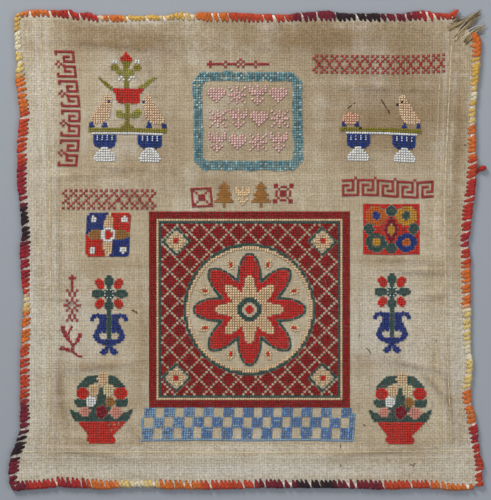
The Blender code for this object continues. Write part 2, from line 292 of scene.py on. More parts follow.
def linear(code):
    """A colour code of six hex digits as scene linear red, green and blue."""
    result = []
    for start in (0, 2, 4):
        value = int(code[start:start + 2], 16) / 255.0
        result.append(value / 12.92 if value <= 0.04045 else ((value + 0.055) / 1.055) ** 2.4)
    return tuple(result)


def place(across, down, height):
    """Points of the model, in metres, from places on the sampler, in millimetres."""
    across, down, height = np.broadcast_arrays(across, down, height)
    return np.stack([(across - CENTRE_ACROSS) * MM, (CENTRE_DOWN - down) * MM, height * MM], -1)


# The canvas's shape.

def edge_point(share, start, end, rows, inset, sideways):
    """An edge of the canvas: short straight runs from corner to corner, placed by its side's table."""
    axis = 0 if sideways else 1
    knots = np.linspace(0.0, 1.0, CLOTH_CELLS + 1)
    beside = read_row(rows, mix(start[axis], end[axis], knots), 1) + inset
    beside[0], beside[-1] = start[1 - axis], end[1 - axis]
    along = mix(start[axis], end[axis], np.asarray(share, float))
    beside = np.interp(share, knots, beside)
    return (along, beside) if sideways else (beside, along)


def cloth_point(u, v):
    """Points of the canvas as a patch between its four edges."""
    left = edge_point(v, CORNER_TOP_LEFT, CORNER_BOTTOM_LEFT, LEFT_SIDE, CLOTH_INSET, False)
    right = edge_point(v, CORNER_TOP_RIGHT, CORNER_BOTTOM_RIGHT, RIGHT_SIDE, -CLOTH_INSET, False)
    top = edge_point(u, CORNER_TOP_LEFT, CORNER_TOP_RIGHT, TOP_SIDE, CLOTH_INSET, True)
    bottom = edge_point(u, CORNER_BOTTOM_LEFT, CORNER_BOTTOM_RIGHT, BOTTOM_SIDE, -CLOTH_INSET, True)
    result = []
    for axis in (0, 1):
        sides = mix(left[axis], right[axis], u)
        ends = mix(top[axis], bottom[axis], v)
        first = mix(CORNER_TOP_LEFT[axis], CORNER_TOP_RIGHT[axis], u)
        last = mix(CORNER_BOTTOM_LEFT[axis], CORNER_BOTTOM_RIGHT[axis], u)
        result.append(sides + ends - mix(first, last, v))
    return result


def shares_at(across, down):
    """The patch's two shares at places on the canvas, found by a few corrections."""
    u = (across - CORNER_TOP_LEFT[0]) / CLOTH_WIDTH
    v = (down - CORNER_TOP_LEFT[1]) / CLOTH_HEIGHT
    for _ in range(5):
        found_across, found_down = cloth_point(u, v)
        u = np.clip(u + (across - found_across) / CLOTH_WIDTH, 0.0001, 0.9999)
        v = np.clip(v + (down - found_down) / CLOTH_HEIGHT, 0.0001, 0.9999)
    return u, v


def edge_distance(u, v):
    """Distance from the nearest edge of the canvas, in millimetres."""
    sides = np.minimum(u, 1.0 - u) * CLOTH_WIDTH
    ends = np.minimum(v, 1.0 - v) * CLOTH_HEIGHT
    return np.minimum(sides, ends)


def hills(rows, across, down):
    """Height of soft oval hills at places."""
    total = np.zeros(np.shape(across))
    for middle_across, middle_down, half_length, half_width, turn, height in rows:
        along, beside = along_and_beside(across - middle_across, down - middle_down, turn)
        total = total + height * np.exp(-(along / half_length) ** 2 - (beside / half_width) ** 2)
    return total


def cloth_height(across, down, from_edge):
    """Height of the canvas's lower face as the part has it."""
    crossing = np.sin(math.tau * across / WAVE_ACROSS) * np.sin(math.tau * down / WAVE_DOWN)
    from_middle = np.hypot(across - CENTRE_ACROSS, down - CENTRE_DOWN)
    height = hills(PUCKERS, across, down) + WAVE_HEIGHT * (1.0 + crossing) / 2.0
    height = height * smooth_step(FLAT_SPOT, WAVE_FULL, from_middle)
    free = smooth_step(POCKET_FLAT, RIM_FALL, from_edge)
    return mix(RIM_LIFT, 0.0, free) + height * free


def soft_noise(across, down, scale, seed):
    """Smooth seeded noise between -1 and 1, on a grid of a given size."""
    chooser = np.random.default_rng(seed)
    cells = int(560.0 / scale) + 3
    values = chooser.uniform(-1.0, 1.0, (cells, cells))
    x = np.clip(across / scale, 0.0, cells - 1.001)
    y = np.clip(down / scale, 0.0, cells - 1.001)
    column = x.astype(int)
    row = y.astype(int)
    east = smooth_step(0.0, 1.0, x - column)
    south = smooth_step(0.0, 1.0, y - row)
    top = mix(values[row, column], values[row, column + 1], east)
    bottom = mix(values[row + 1, column], values[row + 1, column + 1], east)
    return mix(top, bottom, south)


def hem_gaps(across, down):
    """How far places lie to the right of the two upright seams, and below the level one."""
    gaps = []
    for way, marks, beside in HEM_SEAMS:
        along, side = (down, across) if way == "down" else (across, down)
        gaps.append(side - np.interp(along, marks, beside))
    return gaps


def hem_share(across, down):
    """1 on the turned hem and 0 inside its seam, at places on the canvas."""
    left, right, bottom = hem_gaps(across, down)
    inside = np.minimum(np.minimum(left, -right), -bottom)
    return 1.0 - smooth_step(-HEM_STEP, HEM_STEP, inside)


def seam_share(across, down):
    """1 on the drawn lines beside the hem's seam and 0 away from them."""
    lines = []
    for gap in hem_gaps(across, down):
        for shift in DRAWN_LINES:
            lines.append(np.exp(-((gap - shift) / DRAWN_WIDTH) ** 2))
    return np.max(lines, 0)


def linen_relief(across, down, from_edge):
    """What the linen adds to the part's surface: dents, creases and the double layer of the hem."""
    small = 0.5 + 0.5 * soft_noise(across, down, 7.5, 21)
    broad = 0.5 + 0.5 * soft_noise(across, down, 17.0, 22)
    relief = SMALL_DENTS * small + BROAD_DENTS * broad + CREASE_RISE * hills(CREASES, across, down)
    relief = relief + HEM_RISE * hem_share(across, down)
    return relief * smooth_step(POCKET_FLAT, RIM_FALL, from_edge)


def canvas_bottom(across, down, from_edge):
    """Height of the lowest fibre of the canvas at places on it."""
    return cloth_height(across, down, from_edge) + linen_relief(across, down, from_edge)


def canvas_top(across, down):
    """Height of the linen's upper face at places on the canvas."""
    return canvas_bottom(across, down, edge_distance(*shares_at(across, down))) + CLOTH_THICKNESS


# Mesh building.

def mesh_object(name, points, corners, starts):
    """An object of smooth faces from arrays: points, the faces' corners and where each starts."""
    mesh = bpy.data.meshes.new(name)
    mesh.vertices.add(len(points))
    mesh.vertices.foreach_set("co", np.ascontiguousarray(points, np.float32).ravel())
    mesh.loops.add(len(corners))
    mesh.polygons.add(len(starts))
    mesh.polygons.foreach_set("loop_start", np.ascontiguousarray(starts, np.int32))
    mesh.polygons.foreach_set("vertices", np.ascontiguousarray(corners, np.int32))
    mesh.update(calc_edges=True)
    mesh.shade_smooth()
    piece = bpy.data.objects.new(name, mesh)
    bpy.context.scene.collection.objects.link(piece)
    return piece


def paint(piece, name, colours):
    """Gives a piece a colour for each point."""
    layer = piece.data.color_attributes.new(name, "FLOAT_COLOR", "POINT")
    rows = np.ones((len(colours), 4), np.float32)
    rows[:, :3] = colours
    layer.data.foreach_set("color", rows.ravel())


def add_map(piece, name, places):
    """Gives a piece a UV map from one place for each face corner."""
    layer = piece.data.uv_layers.new(name=name)
    layer.uv.foreach_set("vector", np.ascontiguousarray(places, np.float32).ravel())


def tube_pattern(sides, stations):
    """Faces of a tube with pointed ends: corners, starts, and (along, round) of each corner."""
    corners = []
    starts = []
    places = []
    steps = stations + 1

    def point(station, side, share):
        return 1 + station * sides + side % sides, (station + 1) / steps, share

    def add(*rows):
        starts.append(len(corners))
        for index, *where in rows:
            corners.append(index)
            places.append(where)

    for side in range(sides):
        low = side / sides
        high = (side + 1) / sides
        middle = (low + high) / 2.0
        end = stations - 1
        add((0, 0.0, middle), point(0, side + 1, high), point(0, side, low))
        for station in range(end):
            following = station + 1
            add(point(station, side, low), point(station, side + 1, high),
                point(following, side + 1, high), point(following, side, low))
        add((1 + stations * sides, 1.0, middle), point(end, side, low), point(end, side + 1, high))
    return np.array(corners), np.array(starts), np.array(places)


def tube_points(middles, beside, above, half_widths, half_heights, section, tips):
    """Points of many tubes. Arrays are (tube, station, axis); tips is (tube, 2, axis)."""
    rings = []
    for across, up in section:
        wide = beside * (half_widths * across)[..., None]
        rings.append(middles + wide + above * (half_heights * up)[..., None])
    body = np.stack(rings, 2).reshape(len(middles), -1, 3)
    return np.concatenate([tips[:, :1], body, tips[:, 1:]], 1)


def join_tubes(name, groups):
    """One piece from groups of tubes. A group is (points, colours, pattern), colours by point."""
    points, colours, corners, starts, local, tiles = [], [], [], [], [], []
    point_count = 0
    corner_count = 0
    tube_count = sum(len(group[0]) for group in groups)
    tile_side = math.ceil(math.sqrt(tube_count))
    tube_index = 0
    for tubes, dyes, (pattern, pattern_starts, pattern_places) in groups:
        count, size = tubes.shape[:2]
        shifts = point_count + np.arange(count) * size
        corners.append((pattern[None, :] + shifts[:, None]).ravel())
        corner_shifts = corner_count + np.arange(count) * len(pattern)
        starts.append((pattern_starts[None, :] + corner_shifts[:, None]).ravel())
        points.append(tubes.reshape(-1, 3))
        colours.append(dyes.reshape(-1, 3))
        numbers = tube_index + np.arange(count)
        cell = np.stack([numbers % tile_side, numbers // tile_side], -1)
        inside = 0.08 + 0.84 * pattern_places
        tiles.append(((cell[:, None, :] + inside[None]) / tile_side).reshape(-1, 2))
        local.append(np.tile(pattern_places, (count, 1)))
        point_count += count * size
        corner_count += count * len(pattern)
        tube_index += count
    piece = mesh_object(name, np.concatenate(points), np.concatenate(corners), np.concatenate(starts))
    # The colours painted as dye also hold the painted shade and highlight of strands and wraps.
    paint(piece, "dye", np.concatenate(colours))
    add_map(piece, "OFBake", np.concatenate(tiles))
    add_map(piece, "strand", np.concatenate(local))
    return piece


def dress(piece, material, slot, *nodes):
    """Gives a piece its material, its body, and the solids that it takes the place of. The slot is not used.
    """
    piece.data.materials.append(material)
    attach(piece, BODY)
    if nodes:
        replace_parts(piece, *nodes)
    return piece


# Materials.

THREAD_WANDER = 0.6


class Graph:
    """A node material, with short ways to add its nodes."""

    def __init__(self, name, roughness, sheen=0.0):
        self.material = bpy.data.materials.new(name)
        self.material.use_nodes = True
        self.tree = self.material.node_tree
        self.shader = self.tree.nodes["Principled BSDF"]
        self.shader.inputs["Roughness"].default_value = roughness
        self.shader.inputs["Sheen Weight"].default_value = sheen
        self.shader.inputs["Specular IOR Level"].default_value = 0.25

    def add(self, kind, **settings):
        """A node of a kind, with its settings."""
        node = self.tree.nodes.new(kind)
        for name, value in settings.items():
            setattr(node, name, value)
        return node

    def join(self, source, target):
        """Links a socket, or sets a plain value."""
        if isinstance(source, bpy.types.NodeSocket):
            self.tree.links.new(source, target)
        else:
            target.default_value = source

    def math(self, operation, first, second=0.0, third=0.0):
        """A math node's result."""
        node = self.add("ShaderNodeMath", operation=operation)
        for socket, value in zip(node.inputs, (first, second, third)):
            self.join(value, socket)
        return node.outputs[0]

    def remap(self, value, low, high, to_low=0.0, to_high=1.0, smooth=False):
        """A value moved from one range to another, held inside it."""
        node = self.add("ShaderNodeMapRange", interpolation_type="SMOOTHSTEP" if smooth else "LINEAR")
        for socket, item in zip(node.inputs, (value, low, high, to_low, to_high)):
            self.join(item, socket)
        return node.outputs[0]

    def vary(self, factor, *changes):
        """A factor raised and lowered by values. Changes: (value, low, high, most that it changes)."""
        for value, low, high, most in changes:
            factor = self.math("ADD", factor, self.remap(value, low, high, -most, most))
        return factor

    def noise(self, vector, scale, detail=2.0):
        """A noise value at a place."""
        node = self.add("ShaderNodeTexNoise")
        self.join(vector, node.inputs["Vector"])
        node.inputs["Scale"].default_value = scale
        node.inputs["Detail"].default_value = detail
        return node.outputs["Fac"]

    def tint(self, colour, factor):
        """A colour made lighter or darker by a factor."""
        node = self.add("ShaderNodeVectorMath", operation="SCALE")
        self.join(colour, node.inputs[0])
        self.join(factor, node.inputs["Scale"])
        return node.outputs[0]

    def position(self):
        """The place on the piece, in metres."""
        return self.add("ShaderNodeTexCoord").outputs["Object"]

    def painted(self, name):
        """The colour painted on the piece's points."""
        return self.add("ShaderNodeVertexColor", layer_name=name).outputs["Color"]

    def uv(self, name):
        """The two parts of a UV map."""
        node = self.add("ShaderNodeSeparateXYZ")
        self.join(self.add("ShaderNodeUVMap", uv_map=name).outputs[0], node.inputs[0])
        return node.outputs[0], node.outputs[1]

    def finish(self, colour, height, depth, strength=1.0):
        """Joins the colour and the bump to the shader."""
        self.join(colour, self.shader.inputs["Base Color"])
        bump = self.add("ShaderNodeBump")
        bump.inputs["Strength"].default_value = strength
        bump.inputs["Distance"].default_value = depth
        self.join(height, bump.inputs["Height"])
        self.join(bump.outputs[0], self.shader.inputs["Normal"])
        return self.material


def weave(graph, position):
    """Plain weave of paired threads: (height, mask of the holes for their painted shade and bump, random tone
    of the threads).
    """
    axes = graph.add("ShaderNodeSeparateXYZ")
    graph.join(position, axes.inputs[0])
    sines = []
    tones = []
    for axis in (0, 1):
        shift = graph.math("MULTIPLY", graph.noise(position, 90.0 + 25.0 * axis, 1.0), THREAD_WANDER)
        thread = graph.math("ADD", graph.math("DIVIDE", axes.outputs[axis], THREAD_PITCH * MM), shift)
        sines.append((thread, graph.math("SINE", graph.math("MULTIPLY", thread, math.pi))))
        white = graph.add("ShaderNodeTexWhiteNoise", noise_dimensions="1D")
        graph.join(graph.math("ADD", graph.math("FLOOR", thread), 17.0 * axis), white.inputs["W"])
        tones.append(white.outputs["Value"])
    over = graph.math("MULTIPLY", sines[0][1], sines[1][1])
    lifts = []
    gaps = []
    for (thread, sine), sign in zip(sines, (0.35, -0.35)):
        profile = graph.math("POWER", graph.math("ABSOLUTE", sine), 0.6)
        lifts.append(graph.math("MULTIPLY", profile, graph.math("MULTIPLY_ADD", over, sign, 0.65)))
        pair = graph.math("ABSOLUTE", graph.math("SINE", graph.math("MULTIPLY", thread, math.pi / 2.0)))
        gaps.append(graph.remap(pair, 0.12, 0.72, 1.0, 0.0, smooth=True))
    height = graph.math("MAXIMUM", *lifts)
    faint = graph.math("MULTIPLY", graph.math("ADD", *gaps), 0.08)
    holes = graph.math("MULTIPLY_ADD", *gaps, faint)
    warp_shows = graph.math("GREATER_THAN", over, 0.0)
    weft_shows = graph.math("SUBTRACT", 1.0, warp_shows)
    warp_tone = graph.math("MULTIPLY", tones[0], warp_shows)
    return height, holes, graph.math("MULTIPLY_ADD", tones[1], weft_shows, warp_tone)


def linen_material():
    """Natural linen canvas: paired threads with painted shade in their holes and low places and a painted
    highlight on their raised tops, slubs, stains and painted crease shade on its points, and flecks.
    """
    graph = Graph("linen_canvas", 0.93)
    position = graph.position()
    height, holes, tone = weave(graph, position)
    slubs = []
    for stretch in ((900.0, 55.0, 1.0), (60.0, 850.0, 1.0)):
        mapping = graph.add("ShaderNodeMapping")
        graph.join(position, mapping.inputs["Vector"])
        mapping.inputs["Scale"].default_value = stretch
        slubs.append(graph.noise(mapping.outputs[0], 1.0))
    fibre = graph.noise(position, 2600.0, 3.0)
    # Painted shade and highlight: the weave's low places are coloured darker and its raised tops lighter.
    factor = graph.vary(
        graph.remap(height, 0.1, 0.95, 0.74, 1.12),
        (tone, 0.0, 1.0, 0.09),
        (graph.math("ADD", *slubs), 0.7, 1.3, 0.1),
        (fibre, 0.3, 0.7, 0.08),
        (graph.noise(position, 560.0), 0.3, 0.7, 0.24),
    )
    # Painted shade in the holes between pairs of threads.
    depth = graph.remap(graph.noise(position, 150.0, 3.0), 0.3, 0.7, 0.62, 0.34)
    factor = graph.math("MULTIPLY", factor, graph.remap(holes, 0.0, 1.0, 1.06, depth))
    relief = graph.math("MULTIPLY_ADD", fibre, 0.25, height)
    relief = graph.math("MULTIPLY_ADD", holes, -0.5, relief)
    return graph.finish(graph.tint(graph.painted("tone"), factor), relief, 0.0004, 0.8)


def wool_material(name, twists, fibre_scale, depth, sheen, ply_shade):
    """Wool yarn: the dye painted on its points with the painted shade and highlight it holds, twisted plies
    along each strand with painted shade between them, and fine fibres.
    """
    graph = Graph(name, 0.86, sheen)
    position = graph.position()
    along, round_ = graph.uv("strand")
    turn = graph.math("MULTIPLY_ADD", along, twists, graph.math("MULTIPLY", round_, 2.0))
    ply = graph.math("ABSOLUTE", graph.math("SINE", graph.math("MULTIPLY", turn, math.pi)))
    fibre = graph.noise(position, fibre_scale, 4.0)
    # Painted shade in the grooves between the plies, and a slight painted highlight on the plies.
    factor = graph.vary(
        graph.remap(ply, 0.0, 1.0, 1.0 - ply_shade, 1.06),
        (fibre, 0.3, 0.7, 0.14),
        (graph.noise(position, 160.0), 0.3, 0.7, 0.08),
    )
    relief = graph.math("MULTIPLY_ADD", fibre, 0.6, ply)
    return graph.finish(graph.tint(graph.painted("dye"), factor), relief, depth, 0.7)


# Embroidery wools. Rows: name, (colour, width of the strand as a share of the usual).
DYES = {
    "crimson": ("ac2c35", 0.78),
    "scarlet": ("cd3026", 1.06),
    "brick": ("92201f", 1.12),
    "red_bright": ("c92c28", 1.05),
    "peach": ("f8c69a", 0.86),
    "peach_pale": ("f4d3a6", 0.86),
    "flesh": ("ffcaa6", 0.84),
    "pink": ("f29a88", 0.8),
    "blush": ("fdb698", 0.84),
    "pink_pale": ("e2b3aa", 1.0),
    "white": ("fbf8ee", 0.94),
    "tan": ("a8743a", 0.9),
    "brown_dark": ("35261c", 1.0),
    "wine": ("861329", 1.06),
    "green": ("2f5450", 0.86),
    "olive": ("958a30", 0.8),
    "olive_light": ("a39e40", 0.8),
    "teal": ("78aab2", 0.7),
    "teal_light": ("b4d4d2", 0.66),
    "teal_dark": ("4b8492", 0.72),
    "navy": ("243d7e", 1.05),
    "blue": ("223880", 1.0),
    "sky": ("86aed2", 0.7),
    "slate": ("5c87bc", 0.74),
    "gold": ("cf952e", 0.95),
    "orange": ("cf6420", 0.98),
}
DYE_NAMES = list(DYES)
DYE_COLOURS = np.array([linear(code) for code, _ in DYES.values()])
DYE_WIDTHS = np.array([width for _, width in DYES.values()])
CORNERS = ((-1, -1), (1, -1), (-1, 1), (1, 1))

# A mesh is worked where more than this share of it is covered.
LEAST_COVER = 0.3

# Sizes of crosses. Those of thin lines reach right into their corners.
LINE_SIZE = 1.22
LATTICE_SIZE = 1.36
SQUARE_SIZE = 0.96
SLIT_SIZE = 0.56
EYE_SIZE = 0.5


class Chart:
    """A motif drawn on a fine grid, then worked as crosses. Shapes are in millimetres across and down."""

    def __init__(self, left, top, right, bottom, pitch=CROSS_PITCH):
        self.columns = max(1, round((right - left) / pitch))
        self.rows = max(1, round((bottom - top) / pitch))
        across = left + (np.arange(self.columns * FINE) + 0.5) * pitch / FINE
        down = top + (np.arange(self.rows * FINE) + 0.5) * pitch / FINE
        self.across, self.down = np.meshgrid(across, down)
        self.dye = np.full(self.across.shape, -1)
        self.move(0.0, 0.0)

    def move(self, across, down, side=1):
        """Sets the place that shapes are measured from. A side of -1 mirrors them."""
        self.origin = (across, down)
        self.side = side

    def at(self, across, down):
        """A place measured from the origin."""
        return self.origin[0] + self.side * across, self.origin[1] + down

    def fill(self, dye, inside):
        """Works a dye, or bare canvas where dye is None, on the crosses inside a shape."""
        self.dye[inside] = -1 if dye is None else DYE_NAMES.index(dye)

    def oval(self, dye, across, down, half_across, half_down, turn=0.0):
        """An ellipse, turned by degrees."""
        across, down = self.at(across, down)
        first, second = along_and_beside(self.across - across, self.down - down, turn * self.side)
        self.fill(dye, (first / half_across) ** 2 + (second / half_down) ** 2 <= 1.0)

    def block(self, dye, *corners):
        """An upright rectangle between two opposite corners."""
        first, second = self.at(*corners[:2]), self.at(*corners[2:])
        (left, right), (top, bottom) = (sorted(pair) for pair in zip(first, second))
        sides = (self.across >= left) & (self.across < right)
        self.fill(dye, sides & (self.down >= top) & (self.down < bottom))

    def area(self, dye, *points):
        """A polygon."""
        points = [self.at(*point) for point in points]
        inside = np.zeros(self.across.shape, bool)
        for (x0, y0), (x1, y1) in zip(points, points[1:] + points[:1]):
            if y0 == y1:
                continue
            crosses = (y0 > self.down) != (y1 > self.down)
            inside ^= crosses & (self.across < (x1 - x0) * (self.down - y0) / (y1 - y0) + x0)
        self.fill(dye, inside)

    def path(self, dye, width, *points):
        """A line of some width through points."""
        points = [self.at(*point) for point in points]
        nearest = np.full(self.across.shape, 1e9)
        for (x0, y0), (x1, y1) in zip(points, points[1:]):
            run = (x1 - x0) ** 2 + (y1 - y0) ** 2
            share = ((self.across - x0) * (x1 - x0) + (self.down - y0) * (y1 - y0)) / run
            share = np.clip(share, 0.0, 1.0)
            gap = np.hypot(self.across - x0 - share * (x1 - x0), self.down - y0 - share * (y1 - y0))
            nearest = np.minimum(nearest, gap)
        self.fill(dye, nearest <= width / 2.0)

    def dot(self, dye, *places):
        """Single crosses, each on the mesh nearest to a place."""
        for across, down in places:
            gap = np.hypot(self.across - across, self.down - down)
            row, column = np.unravel_index(gap.argmin(), gap.shape)
            row, column = row // FINE * FINE, column // FINE * FINE
            self.fill(dye, (slice(row, row + FINE), slice(column, column + FINE)))

    def by_mesh(self, grid):
        """A fine grid as (mesh, fine place inside the mesh)."""
        blocks = grid.reshape(self.rows, FINE, self.columns, FINE).swapaxes(1, 2)
        return blocks.reshape(self.rows * self.columns, FINE * FINE)

    def crosses(self):
        """Rows of (across, down, dye, size). A cross on an outline is smaller and keeps to its own side."""
        dye = self.by_mesh(self.dye)
        counts = np.stack([(dye == index).sum(1) for index in range(len(DYE_NAMES))], 1)
        best = counts.argmax(1)
        cover = counts.max(1) / FINE ** 2
        own = dye == best[:, None]
        total = np.maximum(own.sum(1), 1)
        middles = [(self.by_mesh(grid) * own).sum(1) / total for grid in (self.across, self.down)]
        size = np.clip(np.sqrt((cover + (dye >= 0).mean(1)) / 2.0) * 1.06, 0.6, 1.02)
        return np.stack([*middles, best, size], -1)[cover > LEAST_COVER]


def worked(places, dye, size=LINE_SIZE):
    """Crosses of one dye and size at places."""
    index = DYE_NAMES.index(dye)
    return np.array([(across, down, index, size) for across, down in places], float)


def charted(lines, dye, left, top, pitch_across, pitch_down):
    """Crosses from a chart: each X in the lines is a cross."""
    places = []
    for row, line in enumerate(lines):
        for column, mark in enumerate(line):
            if mark == "X":
                places.append((left + column * pitch_across, top + row * pitch_down))
    return worked(places, dye)


def bent(crosses, across_at=(), down_at=()):
    """Crosses moved to follow the canvas's own waves. Rows: (place along, shift)."""
    moved = crosses.copy()
    for axis, rows in ((0, across_at), (1, down_at)):
        if rows:
            marks, shifts = zip(*rows)
            moved[:, axis] += np.interp(crosses[:, 1 - axis], marks, shifts)
    return moved


# Borders and small motifs.

# One half of a key repeat. The other half is its mirror image.
KEY_HALF = (
    "XXXXXXXX",
    "X......X",
    "...XXX.X",
    "...X...X",
    "...XXXXX",
)
KEY_DIAMOND = ((4, 1), (6, 1), (5, 0), (5, 2))

# Crosses of a lattice's rows, down its depth. Rows: (repeat of columns, the column that is worked).
LATTICE_ROWS = ((2, 1), (4, 0), (2, 1), (4, 2), (4, 2), (2, 1), (4, 0), (2, 1))


def key_left():
    """Upright key border: four repeats, each two mirrored halves and a small diamond."""
    pitch = 2.465
    cells = []
    for top in range(0, 48, 12):
        for row, line in enumerate(KEY_HALF):
            for column, mark in enumerate(line):
                if mark == "X":
                    cells += [(column, top + row), (column, top + 10 - row)]
        cells += [(column - 0.4, top + row) for row, column in KEY_DIAMOND]
        cells.append((2.6, top + 5.6))
    crosses = worked([(55.6 + column * pitch, 51.6 + row * pitch) for column, row in cells], "crimson")
    lean = ((51.0, 0.0), (81.0, 3.6), (108.0, 6.8), (137.0, 6.0), (165.0, 3.3))
    return bent(crosses, across_at=lean, down_at=((55.0, 0.0), (80.0, 0.6)))


def key_right():
    """Level key border: five repeats, each with a small stitch standing above it."""
    cells = set()
    for left in range(0, 40, 8):
        last = left == 32
        cells.update((left + column, 0) for column in range(-2 if left else 0, 5))
        cells.update((left + 4, row) for row in range(5))
        cells.update((left + column, 4) for column in (2, 3, 4))
        cells.update((left, row) for row in range(2, 7))
        cells.update((left + column, 2) for column in (0, 1, 2))
        cells.update((left + column, 6) for column in range(5 if last else 7))
        if not last:
            cells.update((left + 6, row) for row in range(7))
            cells.add((left + 5, -1))
    places = [(343.0 + column * 2.475, 180.6 + row * 2.44) for column, row in sorted(cells)]
    crosses = worked(places, "crimson")
    wave = ((341.0, 0.0), (365.0, -0.6), (380.0, 0.0), (402.0, 1.5), (417.0, 2.3), (434.0, 0.9))
    return bent(crosses, down_at=wave)


def lattice(left, top, columns, pitch_across, pitch_down, slip_until=0):
    """Diamond lattice border, eight rows deep. Its lower half slips sideways up to a column."""
    places = []
    for column in range(columns):
        for row in range(8):
            slipped = column + 1 if row > 3 and column < slip_until else column
            period, worked_at = LATTICE_ROWS[row]
            if slipped % period == worked_at:
                places.append((left + column * pitch_across, top + row * pitch_down))
    return worked(places, "crimson", LATTICE_SIZE)


LEVEL_SPRIG = (
    ".............X...........",
    ".X.....X....X.X....X.....",
    "XXXXXXX.XXXX.X.XXXX.XXXXX",
    ".X.....X....X.X....X.....",
)
UPRIGHT_SPRIG = (
    "...X...",
    "..XXX..",
    "...X...",
    "...X...",
    "...X...",
    "...X...",
    ".X.X.X.",
    "..X.X..",
    "..X.X..",
    "...X...",
    ".X.X.X.",
    "..X.X..",
    "XX...XX",
    "..X.X..",
    ".X.X.X.",
    "...X...",
    "..X.X..",
    "..X.X..",
    ".X.X.X.",
)
# Rows: width, then points.
LEAF_STROKES = (
    (4.6, (63.0, 327.5), (64.5, 333.0), (68.6, 338.6)),
    (2.3, (72.0, 326.5), (69.0, 332.6)),
    (2.3, (68.6, 338.6), (72.5, 345.0), (72.8, 351.0)),
    (4.2, (80.2, 334.5), (78.0, 339.5)),
    (2.3, (78.0, 339.5), (74.0, 345.0)),
    (3.9, (61.0, 348.0), (67.0, 349.2)),
    (2.4, (67.0, 349.2), (72.6, 351.2), (77.5, 355.0), (82.0, 356.6)),
)


def sprigs():
    """The level sprig above the teal frame, and the upright sprig with its leaves."""
    level = charted(LEVEL_SPRIG, "crimson", 207.9, 59.4, 2.51, 2.42)
    upright = charted(UPRIGHT_SPRIG, "crimson", 64.7, 275.6, 2.5, 2.47)
    leaves = Chart(58.0, 323.0, 86.0, 359.0)
    for width, *points in LEAF_STROKES:
        leaves.path("crimson", width, *points)
    return np.concatenate([level, upright, leaves.crosses()])


def small_squares():
    """A crossed square, and a knot of blocks joined by diagonals."""
    places = []
    for row in range(9):
        for column in range(9):
            from_row, from_column = abs(row - 4), abs(column - 4)
            ring = 4 in (from_row, from_column)
            diagonal = from_row == from_column
            if ring or diagonal or from_row + from_column == 1:
                places.append((191.4 + column * 2.36 + row * 0.22, 188.9 + row * 2.2 - column * 0.08))
            corner = min(from_row, from_column) > 2
            middle = max(from_row, from_column) < 2
            tip = sorted((from_row, from_column)) in ([0, 3], [1, 3])
            if corner or diagonal or middle or tip:
                places.append((274.7 + column * 2.24 - row * 0.12, 184.7 + row * 2.2))
    return worked(places, "crimson", SQUARE_SIZE)


def bird(chart, beak, side, down):
    """A seated bird that faces across the motif. side is 1 where its tail is to the right."""
    chart.move(beak, down, side)
    chart.oval("flesh", 4.4, 4.4, 4.2, 5.0)
    chart.area("flesh", (0.6, 7.4), (8.6, 3.6), (13.0, 11.0), (18.6, 19.5), (22.6, 25.4), (22.0, 28.6),
               (8.0, 28.6), (4.0, 24.6), (1.4, 19.6), (1.0, 14.0))
    chart.move(0.0, 0.0)


# Leaves of the potted plant. Rows: dye, width, then points.
POT_LEAVES = (
    ("olive", 2.6, (99.6, 77.6), (104.0, 82.0)),
    ("olive", 3.8, (104.0, 82.0), (112.6, 89.4)),
    ("olive_light", 3.0, (155.4, 77.0), (150.0, 80.6)),
    ("olive_light", 4.6, (150.0, 80.6), (140.0, 88.4)),
)


